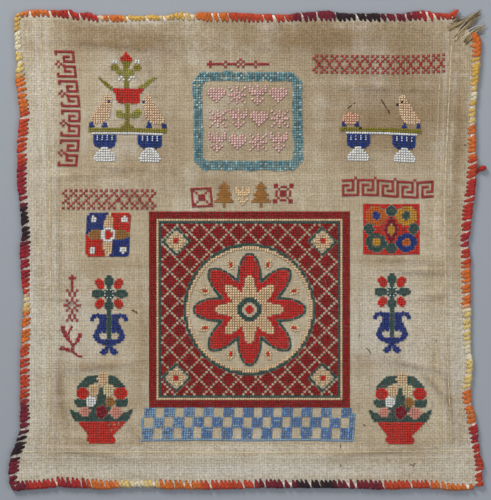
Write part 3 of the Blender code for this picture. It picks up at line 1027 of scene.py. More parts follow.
def birds_and_pot():
    """Two birds on a bench with a potted plant between them, on two footed urns."""
    chart = Chart(86.0, 49.0, 171.0, 164.0)
    chart.area("scarlet", (119.6, 61.6), (120.0, 58.0), (123.4, 55.4), (125.8, 51.0), (128.6, 55.4),
               (132.0, 58.0), (132.6, 61.6))
    chart.area("olive", (121.0, 61.4), (131.4, 61.4), (128.6, 67.4), (128.6, 75.0), (123.6, 75.0),
               (123.6, 67.4))
    for bud in (114.6, 137.2):
        chart.move(bud, 0.0)
        chart.oval("olive", 0.0, 67.2, 4.4, 3.4)
        chart.block("white", -2.6, 60.0, 2.6, 64.4)
        chart.block(None, -0.8, 61.8, 0.8, 64.4)
    chart.move(0.0, 0.0)
    chart.area("olive_light", (115.0, 70.6), (119.0, 68.8), (125.0, 71.4), (132.0, 68.8), (136.4, 70.6),
               (133.0, 75.4), (118.6, 75.4))
    chart.dot("white", (119.6, 78.6), (122.0, 76.4), (123.4, 78.6), (129.6, 78.6), (131.6, 76.4),
              (134.4, 76.4))
    chart.block("olive", 124.4, 74.0, 129.0, 89.0)
    for dye, width, *points in POT_LEAVES:
        chart.path(dye, width, *points)
    chart.area("scarlet", (112.0, 87.6), (120.0, 88.8), (136.0, 88.8), (144.0, 87.6), (143.0, 92.0),
               (140.4, 94.0), (140.4, 101.0), (138.0, 103.6), (119.0, 103.6), (116.6, 101.0), (115.6, 94.0),
               (113.0, 92.0))
    chart.block("olive", 124.8, 103.6, 129.2, 125.5)
    chart.area("olive_light", (116.4, 110.0), (120.6, 109.6), (125.4, 114.0), (125.4, 118.6), (119.0, 118.6),
               (116.4, 115.6))
    chart.area("olive_light", (141.6, 109.4), (136.6, 109.0), (129.4, 113.6), (129.4, 118.0), (136.0, 118.4),
               (141.0, 115.4))
    chart.area("olive", (118.6, 131.8), (121.0, 126.0), (124.6, 124.0), (130.0, 124.0), (133.6, 126.0),
               (135.8, 131.8))
    bird(chart, 112.2, -1, 94.8)
    bird(chart, 143.0, 1, 94.8)
    for foot in (91.8, 104.6, 149.0, 164.2):
        chart.move(foot, 0.0)
        chart.area("navy", (-3.8, 129.6), (-1.2, 121.4), (1.2, 121.4), (3.9, 129.6))
    chart.move(0.0, 0.0)
    chart.block("olive", 88.0, 127.8, 167.0, 132.2)
    chart.block("white", 92.0, 132.0, 163.0, 134.4)
    footed_urn(chart, 104.8, 11.4)
    footed_urn(chart, 150.0, 12.2)
    chart.dot("navy", (108.8, 101.0), (144.6, 100.8))
    crosses = np.concatenate([chart.crosses(), urn_slits(104.8, 150.0)])
    return bent(crosses, down_at=((88.0, 0.0), (128.0, 0.0), (167.0, 1.2)))


def footed_urn(chart, middle, half_width):
    """A navy urn on a white flared foot."""
    chart.move(middle, 0.0)
    chart.block("navy", -half_width, 134.4, half_width, 142.0)
    for side in (-1, 1):
        chart.oval("navy", side * half_width * 0.42, 141.6, half_width * 0.58, 6.6)
    chart.area("white", (-2.0, 146.6), (2.0, 146.6), (5.0, 149.6), (8.6, 152.6), (11.4, 158.0), (9.0, 161.6),
               (-9.0, 161.6), (-11.4, 158.0), (-8.6, 152.6), (-5.0, 149.6))


def urn_slits(*middles):
    """Small pale crosses that mark the flutes of each urn."""
    places = []
    for middle in middles:
        for slit in (-7.4, -2.5, 2.5, 7.4):
            places += [(middle + slit, down) for down in (136.0, 137.8, 139.6)]
    return worked(places, "white", SLIT_SIZE)


def unfinished_bench():
    """The right bench: one whole bird, one that was only begun, and two urns."""
    chart = Chart(337.0, 92.6, 424.0, 165.0)
    bird(chart, 398.2, 1, 94.4)
    chart.area("blush", (341.0, 124.6), (343.0, 115.6), (350.0, 112.6), (357.5, 113.6), (359.4, 118.0),
               (357.0, 124.6))
    chart.dot(None, (345.6, 114.0), (352.0, 114.0))
    for foot in (343.4, 356.8, 404.0, 418.4):
        chart.move(foot, 0.0)
        chart.area("navy", (-3.7, 130.2), (-0.8, 121.6), (1.2, 121.6), (3.8, 130.2))
    chart.move(0.0, 0.0)
    chart.block("olive", 340.0, 127.6, 421.4, 131.8)
    chart.block("white", 346.0, 131.8, 417.0, 134.3)
    footed_urn(chart, 358.2, 11.8)
    footed_urn(chart, 404.2, 11.8)
    chart.dot("brown_dark", (396.4, 102.6), (402.2, 101.4), (360.6, 127.4))
    crosses = np.concatenate([chart.crosses(), urn_slits(358.2, 404.2)])
    return bent(crosses, down_at=((340.0, -0.4), (380.0, 0.2), (421.0, 2.0)))


def flower_vase(middle, shift):
    """A cross of leaves with four buds, on a stem in a lyre shaped urn."""
    chart = Chart(middle - 9.0 * CROSS_PITCH, 270.0 + shift, middle + 9.0 * CROSS_PITCH, 357.0 + shift)
    chart.move(middle, shift)
    flower = 293.6
    chart.oval("green", 0.0, flower, 5.6, 5.6)
    for east, south in ((-11.4, 0.0), (12.4, 0.0), (0.0, -12.4), (0.0, 11.6)):
        half_sizes = (6.5, 4.5) if south == 0.0 else (4.5, 6.3)
        chart.oval("green", east, flower + south, *half_sizes)
        chart.path("green", 3.4, (0.0, flower), (east, flower + south))
    for east, south in CORNERS:
        chart.oval("scarlet", 9.5 * east, flower + 10.0 * south, 5.6, 4.2, 56.0 * east * south)
    chart.oval("blue", 0.0, 335.4, 15.8, 10.2)
    for side in (-1, 1):
        chart.move(middle, shift, side)
        chart.area("blue", (0.0, 314.0), (11.6, 313.4), (10.2, 318.4), (10.2, 323.0), (13.4, 330.0),
                   (0.0, 332.0))
        chart.path("blue", 4.0, (16.8, 319.4), (15.6, 315.9), (10.6, 315.3))
        chart.area(None, (2.6, 331.6), (4.4, 333.4), (7.0, 331.6), (9.8, 335.0), (8.4, 339.6), (2.6, 339.6))
        chart.oval("blue", 4.9, 351.4, 4.3, 3.0, 24.0)
        chart.path("blue", 3.6, (0.0, 345.0), (3.0, 349.4))
    chart.path("green", 3.8, (0.0, 308.0), (0.0, 337.6))
    eyes = [swung(turn, 4.3) for turn in np.arange(22.5, 382.5, 45.0)]
    places = [chart.at(across, flower + down) for across, down in eyes]
    return np.concatenate([chart.crosses(), worked(places, "white", EYE_SIZE)])


# Blossoms of a basket. Rows: (dye, across from the middle, down, half width, half height).
BLOSSOMS = (
    ("scarlet", -18.8, 393.2, 6.3, 5.6),
    ("scarlet", 19.4, 393.0, 6.5, 6.0),
    ("peach", 1.6, 378.6, 5.6, 7.0),
    ("peach", -7.2, 389.8, 5.6, 6.4),
    ("peach_pale", 7.2, 389.8, 6.0, 6.4),
    ("white", -10.4, 401.4, 5.4, 5.4),
    ("tan", 8.8, 401.8, 5.2, 4.8),
    ("pink", -16.4, 411.4, 5.4, 5.2),
    ("pink", 14.6, 412.0, 6.4, 6.0),
    ("wine", 0.2, 411.8, 6.0, 6.4),
)
BARE_SPECKS = ((8.0, 424.6), (12.4, 424.0), (17.0, 423.8), (14.4, 428.4), (10.4, 429.8))


def flower_basket(middle, shift, bare_specks):
    """A tapering red basket of blossoms in dark foliage."""
    chart = Chart(middle - 34.5, 370.0 + shift, middle + 34.5, 445.0 + shift)
    for side in (-1, 1):
        chart.move(middle, shift, side)
        chart.path("green", 8.4, (5.0, 379.0), (13.0, 380.0), (20.0, 388.0))
        chart.area("green", (13.0, 398.6), (26.0, 398.4), (27.6, 400.4), (24.4, 406.8), (14.0, 406.4))
        chart.area("green", (32.2, 408.0), (25.4, 411.4), (21.0, 415.0), (22.0, 421.4), (26.0, 421.4),
                   (29.6, 415.6))
    chart.area("green", (0.0, 384.4), (4.6, 396.0), (5.6, 402.0), (10.0, 406.0), (24.0, 412.0), (26.0, 421.4),
               (-25.0, 421.4), (-24.0, 412.0), (-8.0, 405.0), (-5.0, 402.0), (-3.6, 394.0))
    for blossom in BLOSSOMS:
        chart.oval(*blossom)
    chart.area("scarlet", (-24.0, 421.0), (25.4, 421.0), (19.6, 427.4), (13.8, 433.6), (11.8, 435.8),
               (14.6, 439.0), (12.2, 443.6), (-11.4, 443.6), (-15.6, 439.4), (-12.8, 435.6), (-16.8, 430.0))
    for speck in bare_specks:
        chart.oval(None, *speck, 1.1, 1.1)
    return chart.crosses()


def rounded_frame():
    """The teal frame: light and dark wools worked together, with cut corners and uneven sides."""
    chart = Chart(191.0, 69.6, 304.0, 172.0)
    chooser = np.random.default_rng(63)
    middle_across, middle_down = 247.6, 121.2
    bow = np.interp(chart.down, (70.0, 120.0, 170.0), (-1.0, 0.6, 0.8))
    east = np.abs(chart.across - middle_across - bow)
    south = np.abs(chart.down - middle_down)
    depth = np.minimum(54.6 - east, 49.6 - south)
    depth = np.minimum(depth, (94.6 - east - south) / 1.35)
    depth = depth + 0.7 * soft_noise(chart.across, chart.down, 12.0, 64)
    chart.fill("teal", (depth > 0.0) & (depth <= 9.6))
    crosses = chart.crosses()
    from_sides = np.abs(np.abs(crosses[:, 0] - middle_across) - 49.8)
    from_ends = np.abs(np.abs(crosses[:, 1] - middle_down) - 44.8)
    on_edge = np.floor(np.minimum(from_sides, from_ends)) < 2.0
    dark = chooser.uniform(0.0, 1.0, len(crosses)) < np.where(on_edge, 0.34, 0.2)
    light = chooser.uniform(0.0, 1.0, len(crosses)) < 0.16
    crosses[light, 2] = DYE_NAMES.index("teal_light")
    crosses[dark, 2] = DYE_NAMES.index("teal_dark")
    return crosses[chooser.uniform(0.0, 1.0, len(crosses)) > 0.01]


# Small motifs for the teal frame and the panels.

HEART = (
    ".XX.XX.",
    "XXXXXXX",
    "XXXXXXX",
    ".XXXXX.",
    "..XXX..",
    "...X...",
)
TULIP = (
    "X..X..X",
    "XX.X.XX",
    "XXXXXXX",
    ".XXXXX.",
    "...X...",
    ".X.X.X.",
    "..XXX..",
    "...X...",
)
SMALL_STAR = (
    "X..X..X",
    ".X.X.X.",
    "..XXX..",
    "XXX.XXX",
    "..XXX..",
    ".X.X.X.",
    "X..X..X",
)


def heart_panel():
    """Three rows of small pale pink motifs inside the teal frame."""
    rows = []
    motifs = (HEART, SMALL_STAR, TULIP)
    for row, (top, left) in enumerate(((86.5, 208.5), (110.0, 210.0), (133.5, 209.0))):
        for step in range(4):
            motif = motifs[(step + row) % 3]
            middle = top + (8 - len(motif)) * 1.25
            rows.append(charted(motif, "pink_pale", left + step * 20.6, middle, 2.62, 2.5))
    return np.concatenate(rows)


def star_points(chart, dye, reach, width):
    """An eight pointed star round the chart's origin: four upright and four slanting diamonds."""
    for turn in range(0, 360, 45):
        chart.oval(dye, *swung(turn, reach / 2.0), reach / 2.0, width, turn)


def left_block():
    """A star block: blue and red quarters with white dots, under a peach and white star."""
    chart = Chart(86.0, 212.6, 131.0, 257.0)
    chart.move(108.5, 234.8)
    for east, south in CORNERS:
        chart.block("blue" if east * south > 0 else "scarlet", 0.0, 0.0, 23.0 * east, 23.0 * south)
        chart.oval("white", 15.5 * east, 15.5 * south, 3.4, 3.4)
    for turn in range(0, 360, 90):
        chart.oval("peach" if turn % 180 else "tan", *swung(turn, 11.0), 10.6, 4.6, turn)
    chart.oval("white", 0.0, 0.0, 7.4, 7.4)
    chart.oval("scarlet", 0.0, 0.0, 4.2, 4.2)
    chart.fill(None, (chart.across - 108.5) ** 6 + (chart.down - 234.8) ** 6 > 23.2 ** 6)
    return bent(chart.crosses(), across_at=((212.0, 1.0), (257.0, -1.0)))


def right_block():
    """A block of four blossoms round a diamond, in red, blue, green, gold and orange."""
    chart = Chart(363.0, 203.6, 419.5, 254.4)
    chart.block("scarlet", 363.0, 203.6, 419.5, 254.4)
    chart.move(391.2, 229.0)
    dyes = ("orange", "gold", "green", "blue")
    eyes = ("blue", "green", "gold", "orange")
    for (east, south), dye, eye in zip(CORNERS, dyes, eyes):
        chart.oval(dye, 15.0 * east, 13.4 * south, 10.6, 9.4)
        chart.oval(eye, 15.0 * east, 13.4 * south, 4.6, 4.2)
    for east, south in ((0.0, -19.0), (0.0, 19.0), (-22.2, 0.0), (22.2, 0.0)):
        chart.oval("green", east, south, 5.4, 5.4)
    chart.area("wine", (0.0, -15.0), (8.3, 0.0), (0.0, 15.0), (-8.2, 0.0))
    chart.area("gold", (0.0, -7.5), (4.4, 0.0), (0.0, 7.5), (-4.2, 0.0))
    return bent(chart.crosses(), down_at=((363.0, 0.0), (391.0, 0.6), (419.0, 0.0)))


PANEL_LEFT = 149.0
PANEL_TOP = 211.4
PANEL_RIGHT = 350.0
PANEL_BOTTOM = 407.4


def big_panel():
    """The large panel: a trellis ground with one great star, small corner stars and three borders."""
    chart = Chart(PANEL_LEFT, PANEL_TOP, PANEL_RIGHT, PANEL_BOTTOM)
    chart.block("brick", PANEL_LEFT, PANEL_TOP, PANEL_RIGHT, PANEL_BOTTOM)
    column = np.floor((chart.across - PANEL_LEFT) / CROSS_PITCH).astype(int)
    row = np.floor((chart.down - PANEL_TOP) / CROSS_PITCH).astype(int)
    chart.fill(None, ((column + row) % 8 == 0) | ((column - row) % 8 == 0))
    from_sides = np.minimum(chart.across - PANEL_LEFT, PANEL_RIGHT - chart.across)
    depth = np.minimum(from_sides, np.minimum(chart.down - PANEL_TOP, PANEL_BOTTOM - chart.down))
    for dye, outer, width in (("brick", 0.0, 7.4), ("peach", 7.4, 2.45), ("green", 9.9, 2.45)):
        chart.fill(dye, (depth >= outer) & (depth < outer + width))
    middle = ((PANEL_LEFT + PANEL_RIGHT) / 2.0, (PANEL_TOP + PANEL_BOTTOM) / 2.0)
    chart.move(*middle)
    for dye, radius in (("green", 66.0), ("peach", 63.0), (None, 60.0)):
        chart.oval(dye, 0.0, 0.0, radius, radius)
    for dye, reach, width in (("green", 57.0, 12.6), ("red_bright", 55.0, 10.4), ("peach", 34.0, 6.6)):
        star_points(chart, dye, reach, width)
    for turn in range(22, 382, 45):
        bud = swung(turn + 0.5, 49.0)
        chart.oval("peach", *bud, 5.4, 3.4, turn)
        chart.oval("scarlet", *bud, 2.9, 2.0, turn)
    for dye, radius in (("green", 12.0), (None, 7.0), ("scarlet", 4.0)):
        chart.oval(dye, 0.0, 0.0, radius, radius)
    for east, south in CORNERS:
        chart.move(middle[0] + 73.0 * east, middle[1] + 68.0 * south)
        for dye, reach in (("green", 15.0), (None, 12.0)):
            chart.area(dye, (0.0, -reach), (reach, 0.0), (0.0, reach), (-reach, 0.0))
        star_points(chart, "peach", 9.4, 2.2)
        chart.oval("scarlet", 0.0, 0.0, 3.2, 3.2)
    return chart.crosses()


SMALL_TREE = (
    "....X....",
    "...XXX...",
    "..XXXXX..",
    "...XXX...",
    "..XXXXX..",
    ".XXXXXXX.",
    "..XXXXX..",
    ".XXXXXXX.",
    "XXXXXXXXX",
    "....X....",
    "....X....",
)


def small_trees():
    """A tulip between two small trees, above the large panel."""
    tree = charted(SMALL_TREE, "tan", 215.6, 183.0, 2.1, 2.3)
    tulip = charted(TULIP, "peach", 236.4, 188.0, 2.1, 2.3)
    return np.concatenate([tree, tulip, tree + (37.0, 0.0, 0.0, 0.0)])


# Rows of checks: upper edge, lower edge, first blue check, width of a pair of checks.
CHECK_ROWS = (
    (407.4, 416.8, 143.6, 19.62),
    (416.8, 427.2, 153.0, 19.62),
    (427.2, 438.0, 142.6, 19.8),
)


def checker_band():
    """Three rows of blue checks along the foot of the panel, edged on two sides."""
    chart = Chart(141.0, 407.2, 355.0, 441.5, 2.4)
    for top, bottom, first, pair in CHECK_ROWS:
        inside = (chart.down >= top) & (chart.down < bottom) & (chart.across < 351.0)
        blue = inside & ((chart.across - first) % pair < pair * 0.56) & (chart.across >= first - 1.0)
        darker = chart.across > (212.0 if top < 410.0 else 194.0)
        chart.fill("sky", blue & ~darker)
        chart.fill("slate", blue & darker)
    chart.fill("slate", (chart.across > 349.8) & (chart.down > 412.0) & (chart.down < 438.0))
    chart.fill("sky", (chart.down > 438.2) | ((chart.across > 352.2) & (chart.down > 412.0)))
    chart.block("sky", 141.0, 416.8, 143.4, 427.2)
    crosses = chart.crosses()
    swapped = (crosses[:, 1] < 438.0) & (np.random.default_rng(66).uniform(0.0, 1.0, len(crosses)) < 0.2)
    both = DYE_NAMES.index("sky") + DYE_NAMES.index("slate")
    crosses[swapped, 2] = both - crosses[swapped, 2]
    crosses = bent(crosses, down_at=((140.0, 0.4), (200.0, -0.4), (250.0, 0.3), (300.0, -0.3), (356.0, 0.9)))
    return bent(crosses, across_at=((407.0, 1.2), (441.0, -0.9)))


# Stitches as threads.

STRAND_SECTION = ((-1.0, -0.35), (-0.62, 0.8), (0.62, 0.8), (1.0, -0.35))
LOW_SECTION = ((-1.0, -0.3), (0.0, 1.0), (1.0, -0.3))
STATION_SHARES = np.array([-0.72, 0.0, 0.72])
STRAND_HEIGHT = 0.42
TIP_DEPTH = 0.45
# Lower and upper strands. Rows: turn in degrees, section, lift, rise, half width, shade. The shade paints the
# lower strand darker, as painted shade under the upper one.
STRAND_ROWS = (
    (-45.0, LOW_SECTION, 0.12, 0.28, 0.62, 0.76),
    (45.0, STRAND_SECTION, 0.16, 0.56, 0.66, 1.04),
)

# The bars on the back.
BAR_SECTION = ((1.0, 1.0), (0.0, -1.0), (-1.0, 1.0))
BAR_WIDTH = 0.55
BAR_HEIGHT = 0.2
BAR_REACH = 1.35
BAR_RISE = 0.25

# Painted shade where the wool goes down into a hole of the canvas, and a painted highlight on the middle of
# each strand.
TIP_SHADE = 0.12
END_SHADE = 0.64
MIDDLE_HIGHLIGHT = 1.34


def strand_shades(sides):
    """Painted shade and highlight of each point of a strand, from tip to tip."""
    rings = np.repeat((END_SHADE, MIDDLE_HIGHLIGHT, END_SHADE), sides)
    return np.concatenate([[TIP_SHADE], rings, [TIP_SHADE]])


def strands(crosses, chooser, turn, section, lift, rise, half_width, shade):
    """One diagonal strand for each cross, from hole to hole over the canvas."""
    count = len(crosses)
    across = crosses[:, 0] + chooser.normal(0.0, 0.07, count)
    down = crosses[:, 1] + chooser.normal(0.0, 0.07, count)
    angle = np.radians(turn + chooser.normal(0.0, 3.5, count))
    reach = CROSS_PITCH * math.sqrt(2.0) / 2.0 * chooser.uniform(0.94, 1.08, count) * crosses[:, 3]
    along = np.stack([np.cos(angle), np.sin(angle), np.zeros(count)], -1)
    beside = np.stack([-np.sin(angle), np.cos(angle), np.zeros(count)], -1)
    middle = place(across, down, canvas_top(across, down))
    shares = STATION_SHARES[None, :]
    heights = (lift + rise * (1.0 - np.abs(shares) ** 2.2)) * chooser.uniform(0.88, 1.12, (count, 1))
    middles = middle[:, None, :] + along[:, None, :] * (shares * reach[:, None] * MM)[..., None]
    middles = middles + UP * (heights * MM)[..., None]
    number = crosses[:, 2].astype(int)
    fullness = DYE_WIDTHS[number, None] * chooser.uniform(0.88, 1.12, (count, 1))
    widths = half_width * fullness * (1.0 - 0.38 * shares ** 2) * MM
    thick = STRAND_HEIGHT * (1.0 - 0.25 * shares ** 2) * np.ones((count, 1)) * MM
    run = along * (reach * MM)[:, None]
    tips = np.stack([middle - run, middle + run], 1) - UP * TIP_DEPTH * MM
    beside = np.broadcast_to(beside[:, None, :], middles.shape)
    points = tube_points(middles, beside, np.broadcast_to(UP, middles.shape), widths, thick, section, tips)
    # Painted shade: each strand's colour is scaled by its row's shade, darker for the lower strand.
    colours = DYE_COLOURS[number] * (shade * chooser.normal(1.0, 0.1, (count, 1)))
    colours = colours[:, None, :] * strand_shades(len(section))[None, :, None]
    return points, np.clip(colours, 0.0, 1.0), tube_pattern(len(section), len(STATION_SHARES))


def back_bars(crosses, chooser):
    """The back of each cross: one short upright bar under the linen."""
    count = len(crosses)
    across = crosses[:, 0] + chooser.choice((-0.5, 0.5), count) * CROSS_PITCH
    down = crosses[:, 1] + chooser.normal(0.0, 0.1, count)
    middle = place(across, down, canvas_top(across, down) - CLOTH_THICKNESS + BAR_HEIGHT)
    run = np.array((0.0, BAR_REACH * MM, 0.0))
    tips = np.stack([middle - run, middle + run], 1) + UP * BAR_RISE * MM
    middles = middle[:, None, :]
    beside = np.broadcast_to((1.0, 0.0, 0.0), middles.shape)
    wide = np.full((count, 1), BAR_WIDTH * MM)
    tall = np.full((count, 1), BAR_HEIGHT * MM)
    points = tube_points(middles, beside, np.broadcast_to(UP, middles.shape), wide, tall, BAR_SECTION, tips)
    colours = DYE_COLOURS[crosses[:, 2].astype(int)] * chooser.normal(0.92, 0.07, (count, 1))
    colours = np.broadcast_to(colours[:, None, :], points.shape)
    return points, np.clip(colours, 0.0, 1.0), tube_pattern(len(BAR_SECTION), 1)


def stitch_piece(name, crosses, seed, material):
    """A motif as one piece: lower strands, upper strands and the bars on the back."""
    chooser = np.random.default_rng(seed)
    groups = [strands(crosses, chooser, *row) for row in STRAND_ROWS]
    piece = join_tubes(name, [*groups, back_bars(crosses, chooser)])
    return dress(piece, material, "embroidery_wool")


# The linen.

# Rows: (across, down, half across, half down, turn in degrees, strength).
STAINS = (
    (80.0, 28.0, 34.0, 8.0, 4.0, 0.35),
    (118.0, 44.0, 70.0, 22.0, 0.0, 0.5),
    (160.0, 53.0, 16.0, 9.0, 0.0, 0.25),
    (300.0, 36.0, 130.0, 24.0, 0.0, 0.7),
    (214.0, 180.0, 34.0, 11.0, 0.0, 0.4),
    (100.0, 446.0, 44.0, 7.0, 3.0, 0.5),
    (400.0, 448.0, 44.0, 7.0, -3.0, 0.4),
    (150.0, 120.0, 30.0, 60.0, 0.0, 0.3),
    (390.0, 110.0, 90.0, 66.0, 0.0, 0.78),
    (130.0, 160.0, 60.0, 40.0, 0.0, 0.3),
    (56.0, 400.0, 6.0, 40.0, 4.0, 0.4),
    (90.0, 366.0, 24.0, 6.0, -6.0, 0.4),
    (120.0, 266.0, 40.0, 8.0, 0.0, 0.25),
    (455.0, 400.0, 8.0, 44.0, -6.0, 0.4),
    (456.0, 170.0, 8.0, 90.0, 2.0, 0.3),
    (390.0, 362.0, 40.0, 7.0, 8.0, 0.35),
    (400.0, 262.0, 50.0, 6.0, 2.0, 0.3),
    (137.0, 380.0, 7.0, 50.0, 0.0, 0.3),
    (247.0, 120.0, 46.0, 42.0, 0.0, 0.46),
)
PALE_PLACES = (
    (250.0, 470.0, 240.0, 9.0, 0.0, 0.6),
    (32.0, 320.0, 10.0, 170.0, 0.0, 0.5),
    (34.0, 120.0, 9.0, 70.0, 0.0, 0.2),
    (460.0, 340.0, 8.0, 120.0, 0.0, 0.35),
    (380.0, 330.0, 40.0, 50.0, 0.0, 0.4),
    (80.0, 320.0, 44.0, 60.0, 0.0, 0.25),
    (60.0, 260.0, 20.0, 30.0, 0.0, 0.15),
    (126.0, 100.0, 34.0, 44.0, 0.0, 0.22),
)
LINEN = np.array(linear("bbab8f"))
LINEN_STAIN_AND_SHADE = np.array(linear("8c7455"))
LINEN_PALE = np.array(linear("cec8bd"))
EDGE_PALE = 0.5
SEAM_PALE = 0.3
BACK_SHADE = 0.94


def linen_tone(across, down, from_edge):
    """Colour of the linen at places: natural, stained, darker in painted shade along the creases, paler in
    places, and mottled.
    """
    mottle = 0.5 * soft_noise(across, down, 46.0, 5) + 0.5 * soft_noise(across, down, 19.0, 6)
    mottle = mottle + 0.4 * soft_noise(across, down, 7.0, 7)
    level = soft_noise(across * 3.0 % 500.0, down / 6.0, 12.0, 8)
    upright = soft_noise(across / 6.0, down * 3.0 % 500.0, 12.0, 9)
    mottle = mottle + 0.34 * (level + upright)
    # Painted shade: the linen is coloured darker along its creases, on top of its stains.
    stains_and_crease_shade = hills(STAINS, across, down) + 0.5 * hills(CREASES, across, down)
    stain_and_shade = np.clip(stains_and_crease_shade + 0.16 * mottle + 0.12, 0.0, 0.95)[..., None]
    paler = hills(PALE_PLACES, across, down) + EDGE_PALE * (1.0 - smooth_step(2.5, 6.5, from_edge))
    paler = paler + SEAM_PALE * seam_share(across, down)
    pale = np.clip(paler - 0.2 * mottle, 0.0, 0.95)[..., None]
    return mix(mix(LINEN, LINEN_STAIN_AND_SHADE, stain_and_shade), LINEN_PALE, pale)


def make_canvas():
    """The canvas as a closed thin sheet: an upper and a lower grid joined round the edge."""
    u, v = np.meshgrid(np.linspace(0.0, 1.0, CANVAS_COLUMNS + 1), np.linspace(0.0, 1.0, CANVAS_ROWS + 1))
    across, down = cloth_point(u, v)
    from_edge = edge_distance(u, v)
    lower = canvas_bottom(across, down, from_edge) + LINEN_LIFT
    layers = [place(across, down, height).reshape(-1, 3) for height in (lower + LINEN_THICKNESS, lower)]
    number = np.arange(u.size).reshape(u.shape)
    cells = (number[:-1, :-1], number[:-1, 1:], number[1:, 1:], number[1:, :-1])
    lower_faces = np.stack([corner.ravel() for corner in cells], -1)
    upper_faces = lower_faces[:, [0, 3, 2, 1]]
    rim = np.concatenate([number[0, :], number[1:, -1], number[-1, -2::-1], number[-2::-1, 0]])
    low, high = rim[:-1], rim[1:]
    rim_faces = np.stack([low, high, high + u.size, low + u.size], -1)
    faces = np.concatenate([upper_faces, lower_faces + u.size, rim_faces])
    piece = mesh_object("canvas", np.concatenate(layers), faces.ravel(), np.arange(len(faces)) * 4)
    tone = linen_tone(across, down, from_edge).reshape(-1, 3)
    paint(piece, "tone", np.concatenate([tone, tone * BACK_SHADE]))
    return dress(piece, linen_material(), "linen_canvas", "cloth")


# The overcast edging.

EDGE_DYES = {
    "black": "2b1b1f",
    "maroon": "6a1f2b",
    "crimson": "8c232c",
    "red": "a22c24",
    "red_orange": "b03f25",
    "orange": "c2652a",
    "gold": "c79d4b",
    "yellow": "cbb06d",
    "cream": "d3c7a4",
}
# Rows: (start and end along the side, dye) in the order that the yarn was sewn.
TOP_DYES = (
    (17, 17, "yellow"), (24, 46, "orange"), (52, 52, "red_orange"), (64, 96, "red"), (100, 100, "cream"),
    (104, 121, "orange"), (126, 158, "gold"), (163, 163, "cream"), (168, 186, "gold"),
    (191, 191, "cream"), (196, 224, "orange"), (232, 286, "red_orange"), (294, 330, "maroon"),
    (338, 380, "black"), (386, 412, "maroon"), (419, 419, "crimson"), (426, 426, "red"),
    (457, 457, "red_orange"),
)
RIGHT_DYES = (
    (34, 54, "orange"), (58, 88, "gold"), (92, 99, "cream"), (102, 102, "gold"), (122, 122, "yellow"),
    (127, 154, "orange"), (160, 174, "red_orange"), (180, 232, "red"), (237, 243, "crimson"),
    (248, 248, "red"), (262, 262, "red_orange"), (270, 304, "orange"), (309, 309, "cream"),
    (313, 338, "yellow"), (346, 358, "cream"), (362, 386, "yellow"), (391, 421, "orange"),
    (426, 426, "red"), (436, 436, "crimson"), (444, 444, "red"), (470, 486, "red_orange"),
)
BOTTOM_DYES = (
    (15, 26, "maroon"), (31, 59, "red"), (64, 64, "crimson"), (87, 87, "red"), (92, 117, "orange"),
    (121, 131, "yellow"), (134, 144, "cream"), (148, 157, "yellow"), (162, 198, "orange"),
    (206, 252, "red_orange"), (260, 294, "maroon"), (300, 332, "black"), (340, 380, "maroon"),
    (388, 430, "red_orange"), (438, 470, "orange"), (476, 483, "red"),
)
LEFT_DYES = (
    (15, 29, "gold"), (33, 51, "cream"), (55, 74, "yellow"), (80, 108, "orange"),
    (114, 160, "red_orange"), (168, 188, "crimson"), (204, 204, "maroon"), (210, 238, "black"),
    (244, 244, "maroon"), (252, 276, "crimson"), (283, 283, "red"), (294, 294, "red_orange"),
    (298, 298, "cream"), (302, 308, "yellow"), (314, 342, "orange"), (350, 398, "red_orange"),
    (404, 429, "maroon"), (435, 456, "black"), (464, 490, "maroon"),
)
WRAP_PITCH = 4.3
WRAP_SLANT = 2.7
UNDER_SLANT = 0.4
SLANT_FADE = 14.0
WRAP_STATIONS = 13
WRAP_SECTION = circle(8)

# A wrap's middle line: heights below and above, and the turn round the edge with the share where it starts.
WRAP_LOW = 0.74
WRAP_HIGH = 3.84
WRAP_NOSE = 0.82
NOSE_FROM = 0.36
MID_HEIGHT = 2.35

# Half sizes of a wrap at the edge and at its holes, the share that a ply takes, and painted shade near and
# inside the holes where the wool goes into the linen.
WRAP_HALF_WIDTHS = (2.4, 1.05)
WRAP_HALF_HEIGHTS = (0.74, 0.42)
PLY_WIDTH = 0.76
PLY_HEIGHT = 0.74
HOLE_SHADE = 0.55
WRAP_TIP_SHADE = 0.3

# The place on the bottom side where the wool is worn through, and a mark for sides without one.
WORN_BOTTOM = (456.4, 459.6)
NOT_WORN = (0.0, 0.0)

# Sides of the overcast. A level side runs to the right, and an upright one down. inward is 1 where
# the way in leads right or down. clockwise is 1 where the side runs clockwise round the sampler.
Side = namedtuple("Side", "rows level inward clockwise dyes seed worn")
SIDES = {
    "edging_top": Side(TOP_SIDE, True, 1.0, 1.0, TOP_DYES, 11, NOT_WORN),
    "edging_right": Side(RIGHT_SIDE, False, -1.0, 1.0, RIGHT_DYES, 23, NOT_WORN),
    "edging_bottom": Side(BOTTOM_SIDE, True, -1.0, -1.0, BOTTOM_DYES, 37, WORN_BOTTOM),
    "edging_left": Side(LEFT_SIDE, False, 1.0, -1.0, LEFT_DYES, 41, NOT_WORN),
}


def dye_along(rows, along):
    """Colour of the variegated yarn at places along a side."""
    marks = []
    colours = []
    for start, end, dye in rows:
        for mark in sorted({start, end}):
            marks.append(mark)
            colours.append(linear(EDGE_DYES[dye]))
    colours = np.array(colours)
    return np.stack([np.interp(along, marks, colours[:, axis]) for axis in range(3)], -1)


def wrap_places(start, end, worn, chooser):
    """Places of the wraps along a side, in small groups, with none where the wool is worn through."""
    places = []
    along = start + 1.6
    left_in_group = 2
    while along < end - 1.2:
        places.append(along)
        along += WRAP_PITCH * chooser.uniform(0.86, 1.1)
        left_in_group -= 1
        if left_in_group == 0:
            along += chooser.uniform(0.7, 2.7)
            left_in_group = int(chooser.choice((1, 2, 2, 3, 4)))
    return np.array([along for along in places if not worn[0] < along < worn[1]])


